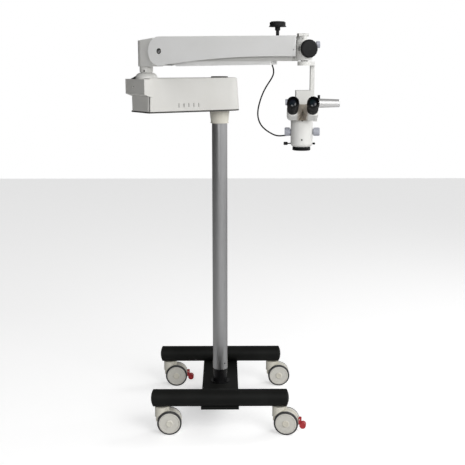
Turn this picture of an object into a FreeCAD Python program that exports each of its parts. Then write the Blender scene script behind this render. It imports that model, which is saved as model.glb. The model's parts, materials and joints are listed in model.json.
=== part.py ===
# Surgical microscope on a four-castor floor stand, in millimetres.
#
# A flat steel base on two cross tubes carries a round column. A lamp housing turns on the column
# and reaches sideways to a second vertical axis, from which a spring-balanced parallelogram arm
# reaches over to the microscope. The microscope hangs on an angled drop arm, and turns and
# tilts there. The origin is on the floor, in the middle of the ground that the whole stand
# covers, +X is the observer's right, and +Y points away from the observer.
import FreeCAD
import Part
import math
import os
from FreeCAD import Placement, Rotation, Vector
from Sketcher import Constraint

SIZES = {
    # The column's axis, from the middle of the whole stand's outline
    "column_x": -26.4,
    "column_y": 221.9,
    # Running and seating clearances
    "run_gap": 0.05,  # radial play of a shaft in its bore
    "seat_gap": 0.3,  # play between faces that turn past each other
    # Base
    "beam_spread": 551.0,  # front tube axis to rear tube axis
    "beam_height": 150.0,  # tube axis above the floor
    "beam_radius": 35.0,
    "beam_wall": 5.0,
    "beam_length": 530.0,  # cut length between the end caps
    "cap_band": 7.5,
    "cap_dome": 9.0,
    "cap_plug": 12.0,
    "ballast_gap": 25.0,  # castor axis to the end of the ballast
    "plate_width": 155.0,
    "plate_length": 592.0,
    "plate_thick": 13.0,
    "plate_top": 119.0,
    # Column
    "socket_radius": 31.0,
    "socket_top": 179.0,
    "socket_flange": 42.0,
    "socket_flange_thick": 4.0,
    "plug_height": 60.0,
    "column_radius": 32.0,
    "column_wall": 5.0,
    "column_top": 1290.0,
    "column_bevel": 2.0,
    "screw_hole_radius": 3.5,
    "screw_hole_height": 207.0,
    "screw_hole_turn": 309.0,
    "collar_drop": 44.0,  # column top down to the foot of the collar
    "collar_low_radius": 36.0,
    "collar_high_radius": 41.5,
    "collar_rim": 4.0,
    "collar_rim_radius": 37.5,
    "turn_rise": 9.0,  # column top up to the underside of the lamp housing
    "spindle_radius": 16.0,
    "spindle_rise": 117.0,
    "spindle_plug": 80.0,
    "bush_radius": 20.0,
    "bush_flange_radius": 26.0,
    # Castors
    "castor_inset": 25.0,  # end of the tube to the swivel axis
    "castor_height": 115.0,
    "castor_trail": 33.0,
    "wheel_radius": 50.0,
    "tread_depth": 7.0,
    "wheel_inner": 10.5,  # inner face of each wheel from the middle of the castor
    "tread_outer": 31.0,
    "disc_outer": 33.0,
    "disc_rim": 3.0,
    "disc_dish": 1.6,
    "disc_boss": 14.0,
    "axle_radius": 5.0,
    "castor_head_radius": 26.0,
    "castor_head_low": 72.0,
    "castor_web": 17.0,
    "hood_radius": 46.0,
    "wheel_clearance": 1.6,
    "stem_radius": 5.5,
    "stem_top": 141.0,
    "stem_depth": 34.0,
    "pedal_reach": 113.0,
    "pedal_width": 15.0,
    "pedal_pin_radius": 2.5,
    "pedal_pin_x": 86.0,
    "pedal_pin_z": 62.0,
    "pedal_ear": 6.0,
    # Lamp housing
    "housing_turn": 213.0,  # direction from the column to the post
    "housing_reach": 338.0,  # column axis to post axis
    "housing_end_low": 80.5,  # radius of the round end at the bottom
    "housing_end_high": 72.5,
    "housing_half_low": 75.0,  # half width of the square end at the bottom
    "housing_half_high": 80.0,
    "housing_overhang": 31.0,
    "housing_nose": 21.0,
    "nose_rise": 65.0,  # heights in the housing are measured from its underside
    "nose_ledge": 8.0,
    "housing_height": 130.0,
    "housing_wall": 3.0,
    "pan_thick": 6.0,
    "lid_thick": 3.0,
    "lid_inset": 3.5,
    "turret_radius": 35.0,
    "turret_height": 8.0,
    "vent_pitch": 22.6,
    "vent_first": 100.0,
    "vent_count": 5,
    "vent_width": 3.0,
    "vent_rise": 20.0,
    "vent_height": 16.0,
    "nose_hole_radius": 4.5,
    "nose_hole_rise": 101.0,
    "nose_hole_side": 15.0,
    "frame_width": 56.0,
    "frame_height": 30.0,
    "frame_rise": 7.0,
    "frame_wall": 5.0,
    "hub_radius": 28.0,
    "hub_drop": 5.0,
    "supply_length": 110.0,
    "supply_place": 138.0,
    "supply_height": 42.0,
    "inlet_length": 48.0,
    "inlet_width": 28.0,
    "inlet_depth": 24.0,
    "inlet_place": 110.0,
    "inlet_side": 49.0,
    "pin_length": 14.0,
    "rocker_length": 21.0,
    "rocker_width": 15.0,
    "rocker_place": 145.0,
    "dome_radius": 43.0,
    "dome_top_radius": 28.0,
    "dome_height": 23.0,
    # Post
    "post_spindle": 15.0,
    "post_spindle_rise": 21.0,
    "post_collar_radius": 26.0,
    "post_collar_gap": 2.0,
    "post_collar_height": 23.0,
    "post_rise": 39.0,  # above the upper pivot
    "post_crown_rise": 11.0,
    "post_radius": 31.0,
    "post_depth": 60.0,
    "lug_width": 24.0,
    "lug_radius": 15.0,
    # Parallelogram arm
    "arm_turn": -36.0,
    "arm_start": 97.0,  # post axis to the pair of pivots on the post
    "arm_length": 574.0,  # pivot to pivot
    "arm_rise": 57.0,  # foot of the post head to the upper pivot
    "link_spacing": 27.0,
    "pivot_radius": 6.0,
    "cover_half": 38.0,
    "cover_end_radius": 54.5,
    "cover_reach": 30.0,  # far pivots to the end of the cover
    "cover_rise_far": 47.0,
    "cover_drop_far": 22.5,
    "cover_wall": 2.5,
    "cover_roof_reach": 6.0,
    "cover_slot": 32.0,
    "post_ring_gap": 3.0,
    "beam_half": 19.0,
    "beam_inner": 12.6,
    "beam_rise": 16.0,
    "beam_drop": 10.0,
    "link_half": 24.0,
    "link_inner": 20.0,
    "link_rise": 9.0,
    "link_drop": 10.7,
    "link_web": 2.7,
    "spring_radius": 11.0,
    "spring_start": 90.0,
    "spring_length": 400.0,
    "duct_start": 67.0,
    "duct_back": 84.0,  # far pivots back to the end of the duct
    "duct_half": 20.0,
    "duct_drop_start": 56.0,
    "duct_drop_end": 49.5,
    "duct_wall": 2.0,
    "gland_start": 36.0,
    "star_back": 67.0,  # far pivots back to the star knob
    "star_stem_radius": 5.7,
    "star_stem": 17.0,
    "star_hub_radius": 9.2,
    "star_hub": 13.0,
    "star_radius": 30.5,
    "star_depth": 20.0,
    # Arm head
    "head_offset": 42.0,  # far pivots to the vertical axis of the drop arm
    "head_radius": 28.0,
    "head_drop": 36.0,  # heights of the head are measured from the upper pivot
    "head_rise": 32.0,
    "ear_radius": 10.7,
    "boss_turn": -71.0,
    "boss_radius": 28.6,
    "boss_rise": 3.0,
    "boss_length": 31.0,
    "friction_radius": 30.5,
    "friction_depth": 15.0,
    "knob_stud_radius": 4.0,
    "side_stud_radius": 3.0,
    "side_boss_radius": 6.5,
    "knob_stud": 14.0,
    "lever_radius": 6.0,
    "lever_rise": 17.0,  # above the head
    "lever_length": 40.0,
    "side_knob_radius": 11.5,
    "side_knob_depth": 13.0,
    "side_knob_start": 40.0,
    "side_knob_rise": 17.0,
    # Drop arm
    "drop_gap": 3.0,  # head down to the plate of the drop arm
    "drop_plate": 14.0,
    "drop_radius": 23.0,
    "drop_spindle_radius": 12.0,
    "drop_spindle_length": 50.0,
    "leg_width": 14.0,
    "leg_depth": 31.0,
    "leg_side": 33.8,  # leg's middle to the right of the swivel axis
    "leg_back": 58.7,
    "leg_length": 150.0,
    "knuckle_length": 51.0,
    "knuckle_radius": 25.0,
    "knuckle_rise": 41.5,
    # Microscope
    "tilt_side": -2.7,
    "tilt_back": 43.1,
    "tilt_drop": 140.0,  # plate down to the tilt axis
    "scope_turn": -3.4,
    "tilt_shaft_radius": 7.0,
    "yoke_left": 38.0,
    "yoke_right": 54.4,
    "yoke_cheek": 9.0,
    "yoke_radius": 16.0,
    "yoke_bridge_top": -36.0,
    "yoke_bridge_low": -66.0,
    "yoke_bridge_depth": 22.0,
    "tilt_knob_radius": 11.0,
    "tilt_knob_depth": 19.0,
    "handle_root_radius": 16.2,
    "handle_tip_radius": 13.6,
    "handle_length": 77.6,
    "handle_drop": 3.2,
    "body_forward": 44.0,  # tilt axis to the optical axis
    "body_radius": 38.0,
    "body_low": -151.0,
    "body_high": -45.0,
    "body_round": 13.0,
    "body_wall": 4.0,
    "ring_radius": 30.75,
    "ring_depth": 12.0,
    "lens_radius": 26.0,
    "magnifier_height": -99.0,
    "magnifier_left": 59.0,
    "magnifier_right": 62.0,
    "magnifier_knob_radius": 14.0,
    "magnifier_shaft": 6.0,
    "drum_radius": 22.0,
    "drum_half": 18.0,
    "lamp_width": 50.0,
    "lamp_depth": 34.0,
    "lamp_low": -145.0,
    "lamp_height": 70.0,
    # Binocular tube
    "tube_incline": 27.0,  # eyepieces above the horizontal
    "tube_forward": 126.1,
    "tube_drop": 19.5,
    "eye_half": 33.3,  # half the distance between the eyepieces
    "eye_length": 65.0,
    "eye_barrel_radius": 18.5,
    "eye_barrel": 38.0,
    "eye_neck_radius": 16.0,
    "eye_ring_radius": 20.5,
    "eye_cup_inner": 16.5,
    "eye_cup_recess": 7.0,
    "prism_depth": 42.0,
    "prism_half": 21.0,
    "prism_side": 19.5,
    "prism_gap": 3.2,
    "wedge_half": 29.0,
    # Lamp cable
    "cable_radius": 2.5,
}

doc = FreeCAD.newDocument("surgical_microscope")
sheet = doc.addObject("Spreadsheet::Sheet", "Sizes")
for row, (word, number) in enumerate(SIZES.items(), start=1):
    sheet.set(f"A{row}", word)
    sheet.set(f"B{row}", str(number))
    sheet.setAlias(f"B{row}", word)
doc.recompute()


class Size:
    """A number together with the sheet formula that gives it."""

    def __init__(self, value, formula):
        self.value = value
        self.formula = formula

    def __add__(self, other):
        return Size(self.value + num(other), f"({self.formula} + {text(other)})")

    def __sub__(self, other):
        return Size(self.value - num(other), f"({self.formula} - {text(other)})")

    def __mul__(self, other):
        return Size(self.value * num(other), f"({self.formula} * {text(other)})")

    def __truediv__(self, other):
        return Size(self.value / num(other), f"({self.formula} / {text(other)})")

    def __radd__(self, other):
        return Size(other + self.value, f"({other} + {self.formula})")

    def __rsub__(self, other):
        return Size(other - self.value, f"({other} - {self.formula})")

    def __rmul__(self, other):
        return Size(other * self.value, f"({other} * {self.formula})")

    def __neg__(self):
        return Size(-self.value, f"(-1 * {self.formula})")


def num(size):
    return size.value if isinstance(size, Size) else size


def text(size):
    return size.formula if isinstance(size, Size) else str(size)


def sin(angle):
    return Size(math.sin(math.radians(num(angle))), f"sin({text(angle)})")


def cos(angle):
    return Size(math.cos(math.radians(num(angle))), f"cos({text(angle)})")


class Sheet:
    """Every size of the sheet by its word."""


S = Sheet()
for word, number in SIZES.items():
    setattr(S, word, Size(number, f"Sizes.{word}"))

# Places along the base and the arm, from the axes that carry the pieces
S.ballast_length = S.beam_length - 2 * (S.castor_inset + S.ballast_gap)
S.cover_far = S.arm_length + S.cover_reach
S.cover_roof_far = S.arm_length + S.cover_roof_reach
S.duct_end = S.arm_length - S.duct_back
S.star_place = S.arm_length - S.star_back
S.head_reach = S.arm_length + S.head_offset

# Heights above the floor, each from the piece that it stands on or hangs from
S.collar_bottom = S.column_top - S.collar_drop
S.turn_height = S.column_top + S.turn_rise
S.spindle_top = S.turn_height + S.spindle_rise
S.nose_low = S.turn_height + S.nose_rise
S.housing_top = S.turn_height + S.housing_height
S.vent_low = S.turn_height + S.vent_rise
S.nose_hole_height = S.turn_height + S.nose_hole_rise
S.frame_low = S.turn_height + S.frame_rise
S.hub_top = S.housing_top - S.hub_drop
S.dome_top = S.housing_top + S.dome_height
S.post_spindle_low = S.turn_height + S.post_spindle_rise
S.post_collar_low = S.dome_top + S.post_collar_gap
S.post_low = S.post_collar_low + S.post_collar_height
S.arm_height = S.post_low + S.arm_rise
S.post_high = S.arm_height + S.post_rise
S.post_crown = S.post_high + S.post_crown_rise
S.head_low = S.arm_height - S.head_drop
S.head_high = S.arm_height + S.head_rise
S.boss_height = S.arm_height + S.boss_rise
S.lever_height = S.head_high + S.lever_rise
S.side_knob_height = S.arm_height + S.side_knob_rise
S.drop_top = S.head_low - S.drop_gap
S.drop_spindle_top = S.drop_top + S.drop_spindle_length
S.leg_low = S.drop_top - S.leg_length
S.tilt_height = S.drop_top - S.tilt_drop
S.knuckle_top = S.tilt_height + S.knuckle_rise


def bind(feature, name, size):
    """Gives a property its value, and its formula where the value comes from the sheet."""
    if isinstance(size, Size):
        feature.setExpression(name, size.formula)
    else:
        setattr(feature, name, size)


def put(feature, x=0, y=0, z=0):
    for axis, size in zip("xyz", (x, y, z)):
        if isinstance(size, Size):
            feature.setExpression(f".Placement.Base.{axis}", size.formula)
        else:
            setattr(feature.Placement.Base, axis, size)


TURNS = {
    "up": Rotation(),
    "down": Rotation(Vector(1, 0, 0), 180),
    "right": Rotation(Vector(0, 1, 0), 90),
    "left": Rotation(Vector(0, 1, 0), -90),
    "back": Rotation(Vector(1, 0, 0), -90),
    "front": Rotation(Vector(1, 0, 0), 90),
}


def turned(way):
    return TURNS[way] if isinstance(way, str) else Rotation(Vector(0, 0, 1), num(way))


def box(x, y, z, at=(0, 0, 0), way="up"):
    feature = doc.addObject("Part::Box", "Block")
    for name, size in (("Length", x), ("Width", y), ("Height", z)):
        bind(feature, name, size)
    feature.Placement = Placement(Vector(*[num(v) for v in at]), turned(way))
    put(feature, *at)
    return feature


def slab(x0, x1, half, z0, z1):
    """A block centred on y = 0 between two x and two z."""
    return box(x1 - x0, half * 2, z1 - z0, at=(x0, -half, z0))


def rod(radius, length, at=(0, 0, 0), way="up"):
    feature = doc.addObject("Part::Cylinder", "Round")
    bind(feature, "Radius", radius)
    bind(feature, "Height", length)
    feature.Placement = Placement(Vector(*[num(v) for v in at]), turned(way))
    put(feature, *at)
    return feature


def cone(low, high, length, at=(0, 0, 0), way="up"):
    feature = doc.addObject("Part::Cone", "Taper")
    for name, size in (("Radius1", low), ("Radius2", high), ("Height", length)):
        bind(feature, name, size)
    feature.Placement = Placement(Vector(*[num(v) for v in at]), turned(way))
    put(feature, *at)
    return feature


def cross(radius, half, at):
    """A rod along y, centred on y = 0, through a point (x, z)."""
    return rod(radius, half * 2, at=(at[0], -half, at[1]), way="back")


def fuse(*features):
    feature = doc.addObject("Part::MultiFuse", "Joined")
    feature.Shapes = list(features)
    feature.Refine = True
    return feature


def cut(base, *tools):
    for tool in tools:
        feature = doc.addObject("Part::Cut", "Hollow")
        feature.Base = base
        feature.Tool = tool
        base = feature
    return base


def group(*features):
    """Separate solids that share one node."""
    feature = doc.addObject("Part::Compound", "Set")
    feature.Links = list(features)
    return feature


def outline(body, plane, points, arcs=()):
    """A closed sketch through points bound to the sheet.

    An entry (index, radius, sense) of arcs makes the side that starts at that point an arc;
    sense +1 turns left and -1 turns right on the way to the next point.
    """
    sketch = body.newObject("Sketcher::SketchObject", "Outline")
    support = next(f for f in body.Origin.OriginFeatures if f.Role == plane)
    sketch.AttachmentSupport = [(support, "")]
    sketch.MapMode = "FlatFace"
    curved = {index: (radius, sense) for index, radius, sense in arcs}
    count = len(points)
    starts, ends = [], []
    for i, point in enumerate(points):
        a = Vector(num(point[0]), num(point[1]), 0)
        following = points[(i + 1) % count]
        b = Vector(num(following[0]), num(following[1]), 0)
        if i not in curved:
            sketch.addGeometry(Part.LineSegment(a, b))
            starts.append(1)
            ends.append(2)
            continue
        radius, sense = curved[i]
        middle, along = (a + b) * 0.5, (b - a)
        side = Vector(-along.y, along.x, 0).normalize() * sense
        rise = math.sqrt(max(num(radius) ** 2 - (along.Length / 2) ** 2, 0))
        centre = middle + side * rise
        first, last = (a, b) if sense > 0 else (b, a)
        begin = math.atan2(first.y - centre.y, first.x - centre.x)
        finish = math.atan2(last.y - centre.y, last.x - centre.x)
        ring = Part.Circle(centre, Vector(0, 0, 1), num(radius))
        sketch.addGeometry(Part.ArcOfCircle(ring, begin, finish))
        starts.append(1 if sense > 0 else 2)
        ends.append(2 if sense > 0 else 1)
    for i in range(count):
        sketch.addConstraint(Constraint("Coincident", i, ends[i], (i + 1) % count, starts[(i + 1) % count]))
    for i, point in enumerate(points):
        for kind, size in (("DistanceX", point[0]), ("DistanceY", point[1])):
            place = sketch.addConstraint(Constraint(kind, -1, 1, i, starts[i], float(num(size))))
            if isinstance(size, Size):
                sketch.setExpression(f"Constraints[{place}]", size.formula)
    for i, (radius, sense) in curved.items():
        here, there = points[i], points[(i + 1) % count]
        chord = math.hypot(num(there[0]) - num(here[0]), num(there[1]) - num(here[1]))
        if abs(chord - 2 * num(radius)) < 0.001:
            # A half circle between fixed ends is held by its centre, not by its radius.
            size = (here[0] + there[0]) / 2
            place = sketch.addConstraint(Constraint("DistanceX", -1, 1, i, 3, float(num(size))))
        else:
            size = radius
            place = sketch.addConstraint(Constraint("Radius", i, float(num(size))))
        if isinstance(size, Size):
            sketch.setExpression(f"Constraints[{place}]", size.formula)
    return sketch


def turning(points, arcs=()):
    """A body of revolution about z, from its half profile (radius, height)."""
    body = doc.addObject("PartDesign::Body", "Turning")
    sketch = outline(body, "XZ_Plane", points, arcs)
    feature = body.newObject("PartDesign::Revolution", "Turned")
    feature.Profile = sketch
    feature.ReferenceAxis = (sketch, ["V_Axis"])
    feature.Angle = 360
    body.Tip = feature
    return body


def plank(points, half, arcs=()):
    """A side profile (x, z) given its thickness both ways along y."""
    body = doc.addObject("PartDesign::Body", "Plank")
    sketch = outline(body, "XZ_Plane", points, arcs)
    feature = body.newObject("PartDesign::Pad", "Thickness")
    feature.Profile = sketch
    feature.Midplane = True
    bind(feature, "Length", half * 2)
    body.Tip = feature
    return body


def plate(points, low, height, arcs=()):
    """A plan outline (x, y) raised from a height."""
    body = doc.addObject("PartDesign::Body", "Plate")
    sketch = outline(body, "XY_Plane", points, arcs)
    feature = body.newObject("PartDesign::Pad", "Thickness")
    feature.Profile = sketch
    bind(feature, "Length", height)
    body.Tip = feature
    put(body, z=low)
    return body


def laid(feature, at=(0, 0, 0), way="up"):
    """Turns a finished body and sets it at a point."""
    feature.Placement = Placement(Vector(*[num(v) for v in at]), turned(way))
    put(feature, *at)
    return feature


def aimed(feature, turn, out, height):
    """Lays an upright feature level, to point away from the axis from a distance out."""
    swing = Rotation(Vector(0, 0, 1), num(turn))
    feature.Placement = Placement(
        swing.multVec(Vector(num(out), 0, num(height))), swing.multiply(TURNS["right"])
    )
    for axis, size in (("x", out * cos(turn)), ("y", out * sin(turn)), ("z", height)):
        feature.setExpression(f".Placement.Base.{axis}", text(size))
    return feature


def rounded(feature, radius, chosen):
    """A fillet on the edges that a test picks by their middle point and length."""
    doc.recompute()
    edges = [
        i
        for i, edge in enumerate(feature.Shape.Edges, start=1)
        if chosen(edge.CenterOfMass, edge)
    ]
    if not edges:
        raise ValueError("no edge to round on " + feature.Name)
    fillet = doc.addObject("Part::Fillet", "Rounding")
    fillet.Base = feature
    fillet.Edges = [(i, num(radius), num(radius)) for i in edges]
    return fillet


NODES = {}


class Frame:
    """Where a group of pieces is drawn: a point and a turn about the vertical."""

    def __init__(self, x=0, y=0, z=0, turn=0, lean=0):
        self.at = (S.column_x + x, S.column_y + y, z)
        heading = Rotation(Vector(0, 0, 1), num(turn))
        self.rotation = heading.multiply(Rotation(Vector(1, 0, 0), num(lean)))

    def name(self, label, feature):
        """Names a finished piece and moves it from its own frame to its place."""
        holder = feature
        if feature.Placement != Placement():
            holder = doc.addObject("Part::Compound", "Piece")
            holder.Links = [feature]
        holder.Placement = Placement(Vector(*[num(v) for v in self.at]), self.rotation)
        put(holder, *self.at)
        holder.Label = label
        NODES[label] = holder


# Base

FLOOR = Frame()
beam_y = S.beam_spread / 2
beam_half = S.beam_length / 2
plate_low = S.plate_top - S.plate_thick
castor_x = beam_half - S.castor_inset


def beam(side):
    tube = rod(S.beam_radius, S.beam_length, (-beam_half, beam_y * side, S.beam_height), "right")
    bore = rod(
        S.beam_radius - S.beam_wall, S.beam_length, (-beam_half, beam_y * side, S.beam_height), "right"
    )
    holes = [
        rod(S.stem_radius, S.beam_radius, (castor_x * end, beam_y * side, S.beam_height - S.beam_radius))
        for end in (-1, 1)
    ]
    return cut(tube, bore, *holes)


def beam_cap(end, side):
    inner = S.beam_radius - S.beam_wall
    dome_radius = (S.beam_radius * S.beam_radius + S.cap_dome * S.cap_dome) / (S.cap_dome * 2)
    profile = [
        (0, -S.cap_plug),
        (inner, -S.cap_plug),
        (inner, 0),
        (S.beam_radius, 0),
        (S.beam_radius, S.cap_band),
        (0, S.cap_band + S.cap_dome),
    ]
    cap = turning(profile, [(4, dome_radius, 1)])
    way = "right" if end > 0 else "left"
    return laid(cap, (beam_half * end, beam_y * side, S.beam_height), way)


def base_pieces():
    FLOOR.name("base_beams", group(beam(-1), beam(1)))
    caps = [beam_cap(end, side) for end in (-1, 1) for side in (-1, 1)]
    FLOOR.name("beam_caps", group(*caps))
    bars = [
        rod(
            S.beam_radius - S.beam_wall,
            S.ballast_length,
            (-(S.ballast_length / 2), beam_y * side, S.beam_height),
            "right",
        )
        for side in (-1, 1)
    ]
    FLOOR.name("ballast_bars", group(*bars))
    corner = (-(S.plate_width / 2), -(S.plate_length / 2), plate_low)
    deck = box(S.plate_width, S.plate_length, S.plate_thick, corner)
    saddles = [
        rod(S.beam_radius, S.beam_length, (-beam_half, beam_y * side, S.beam_height), "right")
        for side in (-1, 1)
    ]
    FLOOR.name("base_plate", cut(deck, *saddles))
    flange_top = S.plate_top + S.socket_flange_thick
    profile = [
        (0, S.plate_top),
        (S.socket_flange, S.plate_top),
        (S.socket_flange, flange_top),
        (S.socket_radius, flange_top),
        (S.socket_radius, S.socket_top),
        (S.column_radius - S.column_wall, S.socket_top),
        (S.column_radius - S.column_wall, S.socket_top + S.plug_height),
        (0, S.socket_top + S.plug_height),
    ]
    FLOOR.name("column_socket", turning(profile))


# Column


def column_pieces():
    inner = S.column_radius - S.column_wall
    profile = [
        (inner, S.socket_top),
        (S.column_radius - S.column_bevel, S.socket_top),
        (S.column_radius, S.socket_top + S.column_bevel),
        (S.column_radius, S.column_top),
        (inner, S.column_top),
    ]
    drill = aimed(rod(S.screw_hole_radius, S.column_radius * 2), S.screw_hole_turn, 0, S.screw_hole_height)
    FLOOR.name("column_tube", cut(turning(profile), drill))
    collar_top = S.turn_height - S.seat_gap
    profile = [
        (S.column_radius, S.collar_bottom),
        (S.collar_rim_radius, S.collar_bottom),
        (S.collar_rim_radius, S.collar_bottom + S.collar_rim),
        (S.collar_low_radius, S.collar_bottom + S.collar_rim),
        (S.collar_high_radius, collar_top),
        (S.column_radius, collar_top),
    ]
    FLOOR.name("column_collar", turning(profile))
    profile = [
        (0, S.column_top - S.spindle_plug),
        (inner, S.column_top - S.spindle_plug),
        (inner, S.column_top),
        (S.column_radius, S.column_top),
        (S.column_radius, collar_top),
        (S.spindle_radius, collar_top),
        (S.spindle_radius, S.spindle_top),
        (0, S.spindle_top),
    ]
    FLOOR.name("column_spindle", turning(profile))
    stems = [
        rod(
            S.stem_radius,
            S.stem_top - S.castor_height + S.stem_depth,
            (castor_x * end, beam_y * side, S.castor_height - S.stem_depth),
        )
        for end in (-1, 1)
        for side in (-1, 1)
    ]
    FLOOR.name("castor_stems", group(*stems))


# Castors


def castor_housing(braked):
    """The round swivel head, the web between the wheels and the axle, as one moulding."""
    head_top = S.castor_height - S.seat_gap
    head = rod(S.castor_head_radius, head_top - S.castor_head_low, (0, 0, S.castor_head_low))
    web_half = S.castor_web / 2
    hood = cross(S.hood_radius, web_half, (S.castor_trail, S.wheel_radius))
    web = slab(-(S.castor_head_radius - 4), S.castor_trail, web_half, S.castor_head_low - 20, head_top - 1)
    parts = [head, hood, web]
    clear = S.wheel_radius + S.wheel_clearance
    inner = S.wheel_inner - S.wheel_clearance / 2
    wells = [
        rod(clear, S.castor_head_radius, (S.castor_trail, inner, S.wheel_radius), "back"),
        rod(clear, S.castor_head_radius, (S.castor_trail, -inner, S.wheel_radius), "front"),
    ]
    body = cut(fuse(*parts), *wells)
    axle = cross(S.axle_radius, S.tread_outer - 1, (S.castor_trail, S.wheel_radius))
    solids = [body, axle]
    if braked:
        low, high = S.pedal_pin_z - 5, S.pedal_pin_z + 5
        solids += [
            cross(S.pedal_pin_radius, S.pedal_width / 2, (S.pedal_pin_x, S.pedal_pin_z)),
            slab(S.castor_trail + 30, S.pedal_pin_x + 4, S.pedal_ear / 2, low, high),
        ]
    socket = rod(S.stem_radius + S.run_gap, S.stem_depth + 2, (0, 0, S.castor_height - S.stem_depth - 1))
    return cut(fuse(*solids), socket)


def castor_wheel(side):
    """A dished disc pressed into its tread, for one side of the castor."""
    rim = S.wheel_radius - S.tread_depth
    face = S.disc_outer - S.disc_dish
    bore = S.axle_radius + S.run_gap
    disc = [
        (bore, S.wheel_inner),
        (rim, S.wheel_inner),
        (rim, S.tread_outer),
        (rim - S.disc_rim, S.disc_outer),
        (rim - S.disc_rim * 2, face),
        (S.disc_boss + 2, face),
        (S.disc_boss, S.disc_outer - 0.4),
        (0, S.disc_outer - 0.4),
        (0, S.tread_outer - 0.5),
        (bore, S.tread_outer - 0.5),
    ]
    tread = [
        (rim, S.wheel_inner),
        (S.wheel_radius - 2, S.wheel_inner),
        (S.wheel_radius, S.wheel_inner + 2),
        (S.wheel_radius, S.tread_outer - 3),
        (S.wheel_radius - 3, S.tread_outer),
        (rim, S.tread_outer),
    ]
    way = "back" if side > 0 else "front"
    return [laid(turning(part), (S.castor_trail, 0, S.wheel_radius), way) for part in (disc, tread)]


def brake_pedal():
    """A teardrop tongue hinged behind the wheels."""
    back = S.pedal_pin_x - 4
    neck = slab(back, S.pedal_pin_x + 8, S.pedal_width / 2, S.pedal_pin_z - 22, S.pedal_pin_z + 8)
    neck = rounded(neck, 3.5, lambda p, e: abs(p.x - num(back)) < 0.1 and 14 < e.Length < 16)
    tongue = cross(13, S.pedal_width * 0.8, (S.pedal_reach - 13, S.pedal_pin_z - 24))
    half = S.pedal_ear / 2 + S.seat_gap
    slot = slab(S.pedal_pin_x - 8, S.pedal_pin_x + 7, half, S.pedal_pin_z - 8, S.pedal_pin_z + 10)
    bore = cross(S.pedal_pin_radius + S.run_gap, S.pedal_width, (S.pedal_pin_x, S.pedal_pin_z))
    return cut(fuse(neck, tongue), slot, bore)


CASTORS = {
    "front_left": (-1, -1, 2, False),
    "front_right": (1, -1, -10, True),
    "rear_left": (-1, 1, 0, True),
    "rear_right": (1, 1, 0, False),
}


def castor_pieces():
    for corner, (end, side, turn, braked) in CASTORS.items():
        frame = Frame(castor_x * end, beam_y * side, 0, turn)
        frame.name(f"castor_{corner}_housing", castor_housing(braked))
        frame.name(f"castor_{corner}_wheels", group(*castor_wheel(1), *castor_wheel(-1)))
        if braked:
            frame.name(f"pedal_{corner}", brake_pedal())


# Lamp housing. Drawn with the column axis at the origin, +x towards the post, +y to the front.

HOUSING = Frame(turn=S.housing_turn)
reach = S.housing_reach
housing_low = S.turn_height + S.pan_thick


def housing_outline(grow, height, share):
    """The plan outline at a share of the housing's height: a square end and a round end."""
    end = S.housing_end_low + (S.housing_end_high - S.housing_end_low) * share - grow
    half = S.housing_half_low + (S.housing_half_high - S.housing_half_low) * share - grow
    far = reach + S.housing_overhang - grow
    wire = Part.Wire(
        [
            Part.Arc(
                Vector(0, num(end), height), Vector(-num(end), 0, height), Vector(0, -num(end), height)
            ).toShape(),
            Part.makeLine(Vector(0, -num(end), height), Vector(num(far), -num(half), height)),
            Part.makeLine(Vector(num(far), -num(half), height), Vector(num(far), num(half), height)),
            Part.makeLine(Vector(num(far), num(half), height), Vector(0, num(end), height)),
        ]
    )
    return wire


def housing_loft(label, grow, low, high):
    """A drafted solid between two heights of the housing."""
    span = num(S.housing_top) - num(housing_low)
    heights = (num(low), num(high))
    wires = [housing_outline(grow, z, (z - num(housing_low)) / span) for z in heights]
    feature = doc.addObject("Part::Feature", label)
    feature.Shape = Part.makeLoft(wires, True, True)
    return feature


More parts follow.
